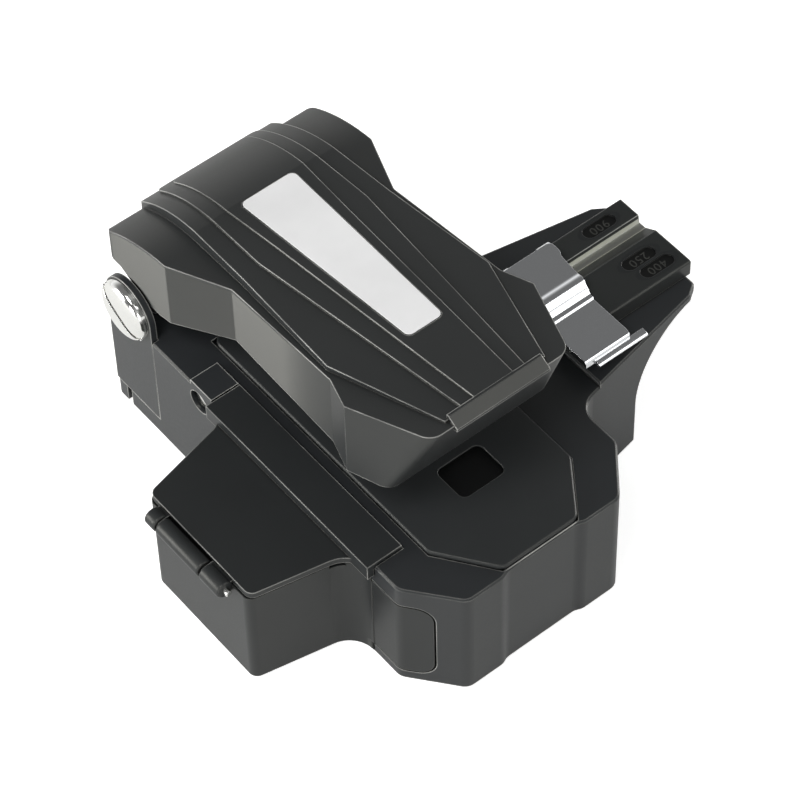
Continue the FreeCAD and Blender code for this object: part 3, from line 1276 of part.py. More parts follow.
bin_wide = size("bin_wide", 22.4, "outer wall of the bin, out from the housing")
bin_out = body_half + bin_wide
bin_corner_front = size("bin_corner_front", 15.2, "bin's outer front corner")
bin_corner_rear = size("bin_corner_rear", 16.4, "bin's outer rear corner")
bin_knee = size("bin_knee", 3.9, "knee of the bin's slanted walls, out from the housing")
bin_knee_x = body_half + bin_knee
bin_knee_front = size("bin_knee_front", 19.0, "front knee of the bin's walls")
bin_knee_rear = size("bin_knee_rear", 20.6, "rear knee of the bin's walls")
bin_wall = size("bin_wall", 1.6, "thickness of the bin's walls")
bin_low = size("bin_low", 0.6, "underside of the bin")
bin_rim = size("bin_rim", 27.0, "rim of the bin")
bin_in = body_half + gap



def cove(knee, corner, radius):
    """Hollow round between a slanted wall and the housing: the wall's normal, and the round's middle."""
    run = bin_out - bin_knee_x
    rise = knee - corner
    wall_run = Term(f"sqrt({run.text}^2 + {rise.text}^2)", math.hypot(run.number, rise.number))
    lean_x = rise / wall_run
    lean_y = run / wall_run
    middle = knee + (radius - (bin_in + radius - bin_knee_x) * lean_x) / lean_y
    return (lean_x, lean_y), middle


def bin_outline(outer, over):
    """The bin's plan, with its slanted walls and coves moved outward by an amount."""
    (front_x, front_y), front_middle = cove_front
    (rear_x, rear_y), rear_middle = cove_rear
    front_reach = cove_radius - over
    rear_reach = cove_rear_radius - over
    return [
        (-bin_in - over, rear_middle),
        Bend(-bin_in - cove_rear_radius, rear_middle, False),
        (rear_reach * rear_x - bin_in - cove_rear_radius, rear_middle - rear_reach * rear_y),
        (-outer, bin_corner_rear + over),
        (-outer, -bin_corner_front - over),
        (front_reach * front_x - bin_in - cove_radius, front_reach * front_y - front_middle),
        Bend(-bin_in - cove_radius, -front_middle, False),
        (-bin_in - over, -front_middle),
    ]


cove_radius = size("cove_radius", 6.4, "hollow round between the bin's front wall and the housing")
cove_rear_radius = size("cove_rear_radius", 4.0, "hollow round between the bin's rear wall and the housing")
cove_front = cove(bin_knee_front, bin_corner_front, cove_radius)
cove_rear = cove(bin_knee_rear, bin_corner_rear, cove_rear_radius)
bin_plan = bin_outline(bin_out, term(0))
scrap_bin = new_body("scrap_bin")
prism(scrap_bin, "bin_block", "z", bin_plan, bin_low, bin_rim)
soften(scrap_bin, "bin_corners", "Fillet", term(2), along("z", [bin_plan[3], bin_plan[4]]))
bin_hollow = [
    (-bin_in - bin_wall, bin_knee_rear - bin_wall),
    (-bin_knee_x, bin_knee_rear - bin_wall),
    (bin_wall - bin_out, bin_corner_rear - bin_wall),
    (bin_wall - bin_out, bin_wall - bin_corner_front),
    (-bin_knee_x, bin_wall - bin_knee_front),
    (-bin_in - bin_wall, bin_wall - bin_knee_front),
]
prism(scrap_bin, "bin_hollow", "z", bin_hollow, bin_low + bin_wall, bin_rim, True)
tab_plan = tab_outline(term(0), tab_thick, tab_share, -tab_root)
tab_plan[0] = (-bin_in - 0.3, -tab_root)
tab_plan[1] = (-bin_in, -cove_front[1])
tab_plan.insert(2, (-body_half, -cove_front[1]))
tab_plan.insert(3, (-body_half, -corner_y))
prism(scrap_bin, "bin_tab", "z", tab_plan, tab_low, tab_top)
soften(scrap_bin, "tab_round", "Fillet", tab_round, free_corners(tab_share, tab_thick))
soften(scrap_bin, "tab_bend", "Fillet", front_round, along("z", [(-body_half, -corner_y)]))
thumb = box(-bin_knee_x - 1.4, 1.6 - bin_knee_x, -bin_knee_front - 3, 1.2 - bin_knee_front)
prism(scrap_bin, "thumb_notch", "z", thumb, bin_rim - 0.8, bin_rim, True)

bin_pin_out = size("bin_pin_out", 1.5, "bin hinge, out from the bin's outer wall")
bin_pin_x = bin_out + bin_pin_out
bin_pin_z = size("bin_pin_z", 26.6, "height of the bin hinge")
bin_pin_radius = size("bin_pin_radius", 0.7, "radius of the bin's hinge pin")
knuckle_radius = size("knuckle_radius", 1.4, "radius of the bin's hinge knuckles")
knuckle_ends = [size(f"knuckle_end_{k}", v, "end of a bin hinge knuckle") for k, v in enumerate((-10.0, -3.9, 10.0, 13.2), 1)]
knuckle_gap = size("knuckle_gap", 0.15, "gap between two knuckles")
pin_line = (-bin_pin_x, bin_pin_z)
web = box(-bin_pin_x, -bin_out + 0.5, bin_pin_z - knuckle_radius, bin_pin_z)
middle_low = knuckle_ends[1] + knuckle_gap
middle_high = knuckle_ends[2] - knuckle_gap
drum(scrap_bin, "bin_knuckle", "y", pin_line, knuckle_radius, middle_low, middle_high)
prism(scrap_bin, "bin_knuckle_web", "y", web, middle_low, middle_high)
drum(scrap_bin, "bin_knuckle_bore", "y", pin_line, bin_pin_radius, middle_low - 1, middle_high + 1, True)
pieces.append(scrap_bin)

lid_plate = size("lid_plate", 1.5, "thickness of the bin lid")
lid_over = size("lid_over", 0.1, "bin lid over the bin's walls")
lid_inset = size("lid_inset", 0.4, "bin lid's outer edge inside the bin's wall")
lid_lift = size("lid_lift", 0.3, "room between bin and bin lid")
strip_play = size("strip_play", 0.05, "room under the strip")
bin_lid = new_body("bin_lid")
lid_low = bin_rim + lid_lift
bin_lid_plan = bin_outline(bin_out - lid_inset, lid_over)
bin_lid_plan.insert(0, (-bin_in, cove_rear[1]))
bin_lid_plan.append((-bin_in, -cove_front[1]))
prism(bin_lid, "bin_lid_plate", "z", bin_lid_plan, lid_low, lid_low + lid_plate)
soften(bin_lid, "bin_lid_corners", "Fillet", term(2), along("z", [bin_lid_plan[4], bin_lid_plan[5]]))
strip_low = body_top - strip_drop + strip_play
strip_high = size("strip_high", 31.0, "top of the bin lid's strip")
riser = size("riser", 1.6, "thickness of the wall between plate and strip")
strip_ends = (-strip_front, strip_rear)
prism(bin_lid, "riser", "z", box(-bin_in - riser, -bin_in, *strip_ends), lid_low, strip_high)
prism(bin_lid, "strip", "z", box(-bin_in - riser, -strip_in, *strip_ends), strip_low, strip_high)
for number, (low, high) in enumerate(((knuckle_ends[0], knuckle_ends[1]), (knuckle_ends[2], knuckle_ends[3])), 1):
    drum(bin_lid, f"lid_knuckle_{number}", "y", pin_line, knuckle_radius, low, high)
    lid_web = box(-bin_pin_x, lid_inset - bin_out + 0.5, lid_low, bin_pin_z + knuckle_radius)
    prism(bin_lid, f"lid_knuckle_web_{number}", "y", lid_web, low, high)
drum(bin_lid, "lid_knuckle_bore", "y", pin_line, bin_pin_radius + running, knuckle_ends[0] - 1, knuckle_ends[3] + 1, True)
pieces.append(bin_lid)
rod("bin_hinge_pin", "y", pin_line, bin_pin_radius, knuckle_ends[0] - 1.2, knuckle_ends[3] + 0.4)
adjuster_sunk = size("adjuster_sunk", 0.9, "depth of the adjuster screw's end in its hole")
rod("adjuster_screw", "x", (adjuster_y, adjuster_z), adjuster_radius, adjuster_sunk - body_half, 2 - body_half)

# ---------------------------------------------------------------- check and write

doc.recompute()
for item in doc.Objects:
    if "Invalid" in item.State or "Error" in item.State:
        raise RuntimeError(f"{item.Label} is {item.State}")
for piece in pieces:
    if piece.Shape.isNull() or not piece.Shape.isValid():
        raise RuntimeError(f"{piece.Label} has no valid shape")
os.makedirs("parts", exist_ok=True)
for piece in pieces:
    piece.Shape.exportStep(f"parts/{piece.Label}.step")
print(f"{len(pieces)} sub-parts written")
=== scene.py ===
# %% [markdown]
# # Fibre cleaver
# A fibre cleaver cuts a glass fibre square across. The glass lies in the groove of the
# holder on the right, the lid comes down and clamps it, and a small wheel passes under it.
# The solids come ready made as a fixed frame. This file gives every one of them a finish,
# makes anew the few pieces whose shape needs more than a plain solid, and sets up a studio.

# %% Load the frame
import math
import bmesh
import bpy
import numpy as np
from mathutils import Matrix, Vector


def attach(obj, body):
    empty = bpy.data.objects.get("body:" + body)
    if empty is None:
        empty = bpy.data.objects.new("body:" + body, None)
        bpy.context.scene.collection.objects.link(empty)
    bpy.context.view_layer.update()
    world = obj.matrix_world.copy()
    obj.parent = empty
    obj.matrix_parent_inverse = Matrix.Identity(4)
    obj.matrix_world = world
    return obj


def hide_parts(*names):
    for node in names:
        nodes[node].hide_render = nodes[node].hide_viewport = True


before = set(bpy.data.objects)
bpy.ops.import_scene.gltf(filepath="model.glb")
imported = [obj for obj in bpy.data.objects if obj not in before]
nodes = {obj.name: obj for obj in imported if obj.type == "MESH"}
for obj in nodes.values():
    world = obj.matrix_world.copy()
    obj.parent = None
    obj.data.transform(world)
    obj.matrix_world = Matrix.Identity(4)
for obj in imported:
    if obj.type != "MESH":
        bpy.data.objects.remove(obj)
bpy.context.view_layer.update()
mm = 0.001

# %% [markdown]
# ## Camera
# A long lens far away keeps the edges of the body nearly parallel, as in a catalogue view.
# The camera could be aimed with a constraint. Here its three axes are worked out from the
# line of sight and a small roll, so nothing has to be evaluated before the first render.

# %% Camera
eye = Vector((-266.0, -343.8, 591.8)) * mm
target = Vector((15.8, 20.7, 0.0)) * mm
roll = math.radians(-1.7)
back = (eye - target).normalized()
level_right = Vector((0, 0, 1)).cross(back).normalized()
level_up = back.cross(level_right)
right = level_right * math.cos(roll) + level_up * math.sin(roll)
up = level_up * math.cos(roll) - level_right * math.sin(roll)
lens = bpy.data.cameras.new("catalogue_lens")
lens.lens = 162
lens.sensor_width = 36
lens.clip_start = 0.01
lens.clip_end = 20
camera = bpy.data.objects.new("catalogue_camera", lens)
camera.matrix_world = Matrix.Translation(eye) @ Matrix((right, up, back)).transposed().to_4x4()
bpy.context.scene.collection.objects.link(camera)
bpy.context.scene.camera = camera
bpy.context.scene.view_settings.view_transform = "Standard"
print("camera looks down at", round(math.degrees(math.asin(back.z)), 1), "degrees")

# %% [markdown]
# ## Tools for finishes
# Colours are written as sRGB hex values, as on a paint chip, and the renderer wants linear
# ones, so one function turns them. A second one adds a node with its settings and links,
# and a third makes a material without nodes.

# %% Colour and node tools
def paint(chip):
    """Each channel c of the chip becomes c/12.92 below 0.04045, else ((c+0.055)/1.055)^2.4."""
    channels = [int(chip[place:place + 2], 16) / 255 for place in (1, 3, 5)]
    linear = [c / 12.92 if c <= 0.04045 else ((c + 0.055) / 1.055) ** 2.4 for c in channels]
    return (*linear, 1.0)


def add(tree, kind, values=None, links=None, **settings):
    """Adds one node: settings are its properties, values fill sockets, links join them."""
    node = tree.nodes.new(kind)
    for name, setting in settings.items():
        setattr(node, name, setting)
    for socket, value in (values or {}).items():
        node.inputs[socket].default_value = value
    for socket, source in (links or {}).items():
        tree.links.new(source, node.inputs[socket])
    return node


def blank(name):
    """A new material with no nodes."""
    material = bpy.data.materials.new(name)
    material.use_nodes = True
    material.node_tree.nodes.clear()
    return material, material.node_tree


print("mid grey in linear light:", round(paint("#808080")[0], 3))

# %% [markdown]
# ## Sky
# Black satin paint has little colour of its own and shows what it mirrors: upright faces
# mirror the table, level ones the ceiling. A picture of a studio could be wrapped round the
# scene. Here the sky is worked out from its direction: white low down, dimmer overhead, and
# darker where a black flag stands at the left. The camera sees it plain white.

# %% Sky
world = bpy.data.worlds.new("studio")
bpy.context.scene.world = world
world.use_nodes = True
sky = world.node_tree
sky.nodes.clear()
direction = add(sky, "ShaderNodeTexCoord")
# The direction's Z is the sine of its angle above the horizon.
height = add(sky, "ShaderNodeSeparateXYZ", links={"Vector": direction.outputs["Generated"]})
overhead = add(sky, "ShaderNodeMapRange",
               {"From Min": 0.10, "From Max": 0.72, "To Min": 1.0, "To Max": 0.18},
               {"Value": height.outputs["Z"]}, interpolation_type="SMOOTHSTEP")
ray = add(sky, "ShaderNodeLightPath")
seen = add(sky, "ShaderNodeMath", operation="MAXIMUM",
           links={0: ray.outputs["Is Camera Ray"], 1: ray.outputs["Is Transmission Ray"]})
flag_direction = (-0.97, -0.24, 0.0)
toward = add(sky, "ShaderNodeVectorMath", {1: flag_direction}, {0: direction.outputs["Generated"]},
             operation="DOT_PRODUCT")
flag = add(sky, "ShaderNodeMapRange",
           {"From Min": 0.6, "From Max": 0.97, "To Min": 1.0, "To Max": 0.12},
           {"Value": toward.outputs["Value"]})
shaded = add(sky, "ShaderNodeMath", operation="MULTIPLY",
             links={0: overhead.outputs["Result"], 1: flag.outputs["Result"]})
strength = add(sky, "ShaderNodeMix", {"B": 1.0},
               {"Factor": seen.outputs[0], "A": shaded.outputs[0]})
dome = add(sky, "ShaderNodeBackground", {"Color": paint("#ffffff")},
           {"Strength": strength.outputs["Result"]})
add(sky, "ShaderNodeOutputWorld", links={"Surface": dome.outputs[0]})
print("sky:", len(sky.nodes), "nodes")

# %% [markdown]
# ## Table
# The cleaver stands on a table with a white laminate top. It has to be plain white for the
# camera and even for gloss, and still throw soft light back at the body. Two tables could
# be laid over each other. Here one top is diffuse for the light and also glows a little,
# but only for the camera, for gloss and for transmission.

# %% Table
half_table = 4.0
table_mesh = bpy.data.meshes.new("table_top")
corners = [(-half_table, -half_table, 0), (half_table, -half_table, 0),
           (half_table, half_table, 0), (-half_table, half_table, 0)]
table_mesh.from_pydata(corners, [], [(0, 1, 2, 3)])
table = bpy.data.objects.new("table_top", table_mesh)
bpy.context.scene.collection.objects.link(table)
laminate, tree = blank("white_table_laminate")
ray = add(tree, "ShaderNodeLightPath")
glossy_or_seen = add(tree, "ShaderNodeMath", operation="MAXIMUM",
                     links={0: ray.outputs["Is Camera Ray"], 1: ray.outputs["Is Glossy Ray"]})
shown = add(tree, "ShaderNodeMath", operation="MAXIMUM",
            links={0: glossy_or_seen.outputs[0], 1: ray.outputs["Is Transmission Ray"]})
lit = add(tree, "ShaderNodeBsdfDiffuse", {"Color": paint("#e4e4e2")})
glow_in_gloss, glow_for_camera = 0.21, 0.74
strength = add(tree, "ShaderNodeMix", {"A": glow_in_gloss, "B": glow_for_camera},
               {"Factor": ray.outputs["Is Camera Ray"]})
glow = add(tree, "ShaderNodeEmission", {"Color": paint("#ffffff")},
           {"Strength": strength.outputs["Result"]})
both = add(tree, "ShaderNodeAddShader", links={0: lit.outputs[0], 1: glow.outputs[0]})
surface = add(tree, "ShaderNodeMixShader",
              links={"Fac": shown.outputs[0], 1: lit.outputs[0], 2: both.outputs[0]})
add(tree, "ShaderNodeOutputMaterial", links={"Surface": surface.outputs[0]})
table_mesh.materials.append(laminate)
print("table:", 2 * half_table, "m wide")

# %% [markdown]
# ## Lamps
# Six soft lamps stand round the cleaver. The window at the rear left is what the flanks of
# the lid mirror, the high box lights the tops, and the cards at the front, right and left
# lift single faces. The card for the clip is meant for its bright folds alone, so it gives
# no diffuse light. One big lamp would be simpler, but it would grey the black tops.

# %% Lamps
lamp_aim = Vector((0, 0, 0.03))


def soft_lamp(name, place, size, power):
    """A square area lamp at place that faces lamp_aim: size in metres, power in watts."""
    light = bpy.data.lights.new(name, "AREA")
    light.size = size
    light.energy = power
    lamp = bpy.data.objects.new(name, light)
    spot = Vector(place)
    turn = (spot - lamp_aim).to_track_quat("Z", "Y")
    lamp.matrix_world = Matrix.Translation(spot) @ turn.to_matrix().to_4x4()
    bpy.context.scene.collection.objects.link(lamp)
    return lamp


soft_lamp("window_left", (-0.82, 0.52, 0.16), size=0.5, power=8.0)
soft_lamp("front_card", (-0.42, -0.90, 0.16), size=0.4, power=2.2)
soft_lamp("high_box", (-0.60, -0.15, 1.05), size=0.5, power=7.9)
clip_card = soft_lamp("clip_card", (0.42, -0.62, 0.72), size=0.6, power=2.8)
clip_card.visible_diffuse = False
soft_lamp("right_card", (0.80, -0.08, 0.12), size=0.3, power=3.0)
soft_lamp("waist_card", (-0.96, -0.19, 0.13), size=0.28, power=2.0)
print("lamps:", len(bpy.data.lights))

# %% [markdown]
# ## Black satin enamel on a casting
# The housing is die-cast and sprayed with a satin black enamel that is baked on. It gives
# the eye a deep black with a broad soft sheen, a very fine orange peel, and a paler line
# along every outer edge. That line is partly wear where the coat is thin and partly a painted
# highlight, for the light a rounded edge would catch. The edge line could be drawn by hand.
# Here occlusion measured inside the solid finds it: close to an outer edge a ray sent inward
# soon meets another face, so the line lies on every real edge and never in a hollow. Gaps and
# hollows get painted shade: there the coat goes towards near black, found by occlusion
# outside the solid.

# %% Satin coat
def satin_coat(name, chip, wear_and_highlight_chip, dullness, peel_mm, peel_depth_mm, round_mm, shine=0.27):
    """Satin coat: mottled colour, painted shade in gaps, and a pale edge line that is partly wear
    and partly painted highlight, with peel in the bump. Noise scale is 1 / grain size. The edge
    line lies where rays inside the solid are blocked within edge_reach, and the painted shade
    where rays outside it are blocked within gap_reach.
    Roughness runs from dullness - spread to dullness + spread."""
    edge_reach, gap_reach, cloud_mm, cloud_dim, spread = 0.26 * mm, 0.9 * mm, 14, 0.82, 0.04
    material, tree = blank(name)
    place = add(tree, "ShaderNodeTexCoord")
    spot = {"Vector": place.outputs["Object"]}
    cloud = add(tree, "ShaderNodeTexNoise", {"Scale": 1 / (cloud_mm * mm), "Detail": 3.0}, spot)
    peel = add(tree, "ShaderNodeTexNoise", {"Scale": 1 / (peel_mm * mm), "Detail": 2.0}, spot)
    rounded = add(tree, "ShaderNodeBevel", {"Radius": round_mm * mm}, samples=6)
    inner = add(tree, "ShaderNodeAmbientOcclusion", {"Distance": edge_reach}, inside=True,
                only_local=True, samples=8)
    edge = add(tree, "ShaderNodeMapRange", {"From Min": 0.92, "From Max": 0.62},
               {"Value": inner.outputs["AO"]})
    thin = add(tree, "ShaderNodeMapRange", {"From Min": 0.35, "From Max": 0.6, "To Min": 0.35},
               {"Value": cloud.outputs["Fac"]})
    wear_and_highlight_line = add(tree, "ShaderNodeMath", operation="MULTIPLY",
               links={0: edge.outputs["Result"], 1: thin.outputs["Result"]})
    outer = add(tree, "ShaderNodeAmbientOcclusion", {"Distance": gap_reach}, samples=6)
    clear_of_painted_shade = add(tree, "ShaderNodeMapRange", {"From Min": 0.35, "From Max": 0.85},
                   {"Value": outer.outputs["AO"]})
    edge_wear_and_highlight = add(tree, "ShaderNodeMath", operation="MULTIPLY",
               links={0: wear_and_highlight_line.outputs[0], 1: clear_of_painted_shade.outputs["Result"]})
    deep = [c * cloud_dim for c in paint(chip)[:3]] + [1.0]
    mottled = add(tree, "ShaderNodeMix", {"A": deep, "B": paint(chip)},
                  {"Factor": cloud.outputs["Fac"]}, data_type="RGBA")
    # Painted shade: the coat is mixed towards near black in gaps and hollows.
    coat = add(tree, "ShaderNodeMix", {"A": paint("#060606")}, data_type="RGBA",
               links={"Factor": clear_of_painted_shade.outputs["Result"], "B": mottled.outputs["Result"]})
    # Painted highlight, partly wear: the pale edge colour is mixed in along outer edges.
    colour = add(tree, "ShaderNodeMix", {"B": paint(wear_and_highlight_chip)}, data_type="RGBA",
                 links={"Factor": edge_wear_and_highlight.outputs[0], "A": coat.outputs["Result"]})
    rough = add(tree, "ShaderNodeMapRange",
                {"To Min": dullness - spread, "To Max": dullness + spread},
                {"Value": peel.outputs["Fac"]})
    bump = add(tree, "ShaderNodeBump", {"Strength": 1.0, "Distance": peel_depth_mm * mm},
               {"Height": peel.outputs["Fac"], "Normal": rounded.outputs[0]})
    coated = add(tree, "ShaderNodeBsdfPrincipled",
                 {"IOR": 1.5, "Specular IOR Level": shine, "Specular Tint": paint("#fffdf2")},
                 {"Base Color": colour.outputs["Result"], "Roughness": rough.outputs["Result"],
                  "Normal": bump.outputs["Normal"]})
    add(tree, "ShaderNodeOutputMaterial", links={"Surface": coated.outputs[0]})
    return material


# %% Enamelled castings
# A deep black with a broad soft sheen and pale edges, partly worn and partly a painted
# highlight. The lid's coat mirrors more.
sprayed = {"dullness": 0.36, "peel_mm": 0.5, "peel_depth_mm": 0.004, "round_mm": 0.35}
housing = satin_coat("satin_enamel_on_die_cast_aluminium", "#2d2f31", "#b9b9b4", **sprayed)
lid_coat = satin_coat("satin_enamel_on_lid", "#2a2c2d", "#b2b2ae", **sprayed, shine=0.45)
# The deck is a plate in a recess, and its pale edge line, partly wear and partly painted
# highlight, is kept faint.
deck_coat = satin_coat("satin_enamel_on_deck_plate", "#2e3031", "#4a4c4b", **sprayed)
print("enamelled:", housing.name, lid_coat.name, deck_coat.name)

# %% [markdown]
# ## Moulded, anodised and coated pieces
# The bin is moulded from black ABS, the holder and the clamps are milled and anodised, the
# magnets are dipped in epoxy and the label is a film. Each could have a function of its
# own. They differ from the enamel only in colour, sheen, grain and edge, so they share its
# function.

# %% Moulded ABS
# ABS is black all through, so its pale edge line, partly wear and partly painted highlight,
# is less pale than the enamel's, and on the bin it hardly shows.
from_mould = {"dullness": 0.38, "peel_mm": 0.35, "peel_depth_mm": 0.004, "round_mm": 0.30}
moulding = satin_coat("moulded_black_abs", "#282a2b", "#9a9a96", **from_mould)
bin_moulding = satin_coat("moulded_black_abs_bin", "#282a2b", "#4c4d4b", **from_mould)
print("moulded:", moulding.name, bin_moulding.name)

# %% Anodised aluminium
# Anodising is thin and follows the machined face: a tighter sheen, and a bright edge line
# that is partly bare metal and partly painted highlight.
machined = {"dullness": 0.32, "peel_mm": 0.3, "peel_depth_mm": 0.003, "round_mm": 0.25}
anodised = satin_coat("black_anodised_aluminium", "#2c2e2e", "#b4b5b0", **machined)
holder_coat = satin_coat("black_anodised_holder", "#2c2e2e", "#b4b5b0", **machined)
print("anodised:", anodised.name, holder_coat.name)

# %% Magnets and label
# The magnets' epoxy is darker than the enamel and a little duller, the label's film is matt.
magnet = satin_coat("epoxy_coated_magnet", "#0c0d0f", "#0e0f11", dullness=0.42, peel_mm=0.4,
                    peel_depth_mm=0.006, round_mm=0.2)
film = satin_coat("matt_white_label_film", "#f2f2f2", "#f8f8f8", dullness=0.55, peel_mm=0.3,
                  peel_depth_mm=0.001, round_mm=0.1)
print("coated:", magnet.name, film.name)

# %% [markdown]
# ## Bare metals
# Turned and ground steel shows fine parallel scratches, a folded strip shows them along its
# folds, and a plated piece almost none. They could be modelled as grooves. Here a noise
# gives them: it is stretched along the marks, and even on plated and blackened pieces. Real
# marks are a few hundredths of a millimetre wide and would not show, so they are drawn at
# 0.15 to 0.5.

# %% Bare metal
def metal(name, chip, dullness, mark_mm, stretch, depth_mm, round_mm=0.15):
    """Metal with marks: noise on coordinates stretched per axis, into roughness and bump.
    Roughness runs from dullness - spread to dullness + spread, but not below mirror."""
    spread, mirror, mark_dim = 0.08, 0.04, 0.9
    material, tree = blank(name)
    place = add(tree, "ShaderNodeTexCoord")
    drawn = add(tree, "ShaderNodeMapping", {"Scale": stretch}, {"Vector": place.outputs["Object"]})
    marks = add(tree, "ShaderNodeTexNoise", {"Scale": 1 / (mark_mm * mm), "Detail": 4.0},
                {"Vector": drawn.outputs["Vector"]})
    rounded = add(tree, "ShaderNodeBevel", {"Radius": round_mm * mm}, samples=6)
    rough = add(tree, "ShaderNodeMapRange",
                {"To Min": max(mirror, dullness - spread), "To Max": dullness + spread},
                {"Value": marks.outputs["Fac"]})
    bump = add(tree, "ShaderNodeBump", {"Strength": 1.0, "Distance": depth_mm * mm},
               {"Height": marks.outputs["Fac"], "Normal": rounded.outputs[0]})
    dim = [c * mark_dim for c in paint(chip)[:3]] + [1.0]
    colour = add(tree, "ShaderNodeMix", {"A": dim, "B": paint(chip)},
                 {"Factor": marks.outputs["Fac"]}, data_type="RGBA")
    bare = add(tree, "ShaderNodeBsdfPrincipled", {"Metallic": 1.0},
               {"Base Color": colour.outputs["Result"], "Roughness": rough.outputs["Result"],
                "Normal": bump.outputs["Normal"]})
    add(tree, "ShaderNodeOutputMaterial", links={"Surface": bare.outputs[0]})
    return material


# %% Steel, nickel, aluminium and carbide
# The clip's strip is rolled nearly to a mirror, the shaft and rail are ground and greyer.
strip = metal("rolled_stainless_strip", "#e6e8ea", dullness=0.16, mark_mm=0.5, stretch=(1, 6, 6),
              depth_mm=0.00004)
ground = metal("ground_steel", "#a9adb0", dullness=0.26, mark_mm=0.2, stretch=(1, 6, 6),
               depth_mm=0.001)
# Nickel plate is the brightest metal here and black oxide the darkest.
plated = metal("bright_nickel_plate", "#f4f4f1", dullness=0.10, mark_mm=0.4, stretch=(1, 1, 1),
               depth_mm=0.0004)
oxide = metal("black_oxide_steel", "#4b4e50", dullness=0.38, mark_mm=0.3, stretch=(1, 1, 1),
              depth_mm=0.001)
# The carriage is milled along its travel. The wheel is lapped carbide, dark and close to gloss.
milled = metal("milled_aluminium", "#b4b8ba", dullness=0.30, mark_mm=0.3, stretch=(6, 1, 6),
               depth_mm=0.001)
carbide = metal("lapped_tungsten_carbide", "#7d8285", dullness=0.22, mark_mm=0.15,
                stretch=(6, 1, 1), depth_mm=0.0005)
metals = [strip, ground, plated, oxide, milled, carbide]
print("metals:", [bare.name for bare in metals])

# %% [markdown]
# ## Rubber
# The clamp pads and the mat are moulded rubber: dull, with a fine grain from the mould and
# a little dust. A plain dark grey would look like more enamel. Here one noise is the grain
# and a coarser one lays a paler haze of dust in patches.

# %% Rubber
def rubber(name, chip, grain_mm):
    """Dull moulded rubber: grain in the bump, paler dust where the coarse noise is high."""
    dust_mm, round_mm, grain_depth_mm = 9, 0.3, 0.02
    material, tree = blank(name)
    place = add(tree, "ShaderNodeTexCoord")
    spot = {"Vector": place.outputs["Object"]}
    grain = add(tree, "ShaderNodeTexNoise", {"Scale": 1 / (grain_mm * mm), "Detail": 3.0}, spot)
    dust = add(tree, "ShaderNodeTexNoise", {"Scale": 1 / (dust_mm * mm), "Detail": 4.0}, spot)
    haze = add(tree, "ShaderNodeMapRange", {"From Min": 0.45, "From Max": 0.8, "To Max": 0.25},
               {"Value": dust.outputs["Fac"]})
    colour = add(tree, "ShaderNodeMix", {"A": paint(chip), "B": paint("#5a5a58")},
                 {"Factor": haze.outputs["Result"]}, data_type="RGBA")
    rounded = add(tree, "ShaderNodeBevel", {"Radius": round_mm * mm}, samples=6)
    bump = add(tree, "ShaderNodeBump", {"Strength": 1.0, "Distance": grain_depth_mm * mm},
               {"Height": grain.outputs["Fac"], "Normal": rounded.outputs[0]})
    dull = add(tree, "ShaderNodeBsdfPrincipled", {"IOR": 1.5, "Roughness": 0.75},
               {"Base Color": colour.outputs["Result"], "Normal": bump.outputs["Normal"]})
    add(tree, "ShaderNodeOutputMaterial", links={"Surface": dull.outputs[0]})
    return material


# %% Pads and mat
# Pads of nitrile rubber and a mat of cellular rubber: dull, with a visible grain.
pad_rubber = rubber("nitrile_rubber_pad", "#2b2c2d", grain_mm=0.25)
mat_rubber = rubber("cellular_rubber_mat", "#1c1d1e", grain_mm=0.5)
print("rubbers:", pad_rubber.name, mat_rubber.name)

# %% [markdown]
# ## Which solid has which finish
# The casting, the deck and the lid are enamelled, the bin is moulded, and the holder and the
# clamps are anodised. The clip, the screws, the shaft and the carriage are bare metal. Each
# solid could be given its finish by hand. Here one table lists them, so none is forgotten.

# %% Which finish goes where
finishes = {
    lid_coat: ["lid_shell"],
    deck_coat: ["deck_plate"],
    housing: ["base_body", "hinge_ear_left", "hinge_ear_right", "lid_frame"],
    moulding: ["bin_lid", "base_cover"],
    bin_moulding: ["scrap_bin"],
    anodised: ["clamp_left", "clamp_right"],
    holder_coat: ["fibre_holder"],
    strip: ["fibre_clip"],
    ground: ["hinge_shaft", "guide_rail", "anvil", "lid_spring"],
    plated: ["hinge_screw_left", "hinge_screw_right", "adjuster_screw", "bin_hinge_pin", "clip_pin",
             "strike_plate"],
    oxide: ["cover_screws", "rail_screws", "lid_screws", "blade_bolt"],
    milled: ["blade_carriage"],
    carbide: ["blade_wheel"],
    magnet: ["catch_magnet", "clip_magnet"],
    pad_rubber: ["lower_pad_left", "lower_pad_right", "upper_pad_left", "upper_pad_right",
                 "clip_pad"],
    mat_rubber: ["foot_mat"],
    film: ["lid_label"],
}
for finish, names in finishes.items():
    for name in names:
        nodes[name].data.materials.clear()
        nodes[name].data.materials.append(finish)
finished = {name for names in finishes.values() for name in names}
print("solids without a finish:", sorted(set(nodes) - finished))

# %% [markdown]
# ## Draft on the lid's flanks
# The lid is cast too, and its hanging flanks lean outwards so that it leaves the mould, more
# at the rear than at the nose. The steps of the spine above them are upright. The lean could
# be cut into the solid. Here the finish leans its shading normal below the flank's top edge.

# %% Draft of the flanks
nose_y, nose_top = -29.0, 64.6
curve_y, curve_top, curve_length = 36.6, 56.7, 80.0
less_lean_y, full_lean_y, least_share = -12.0, 10.0, 0.35


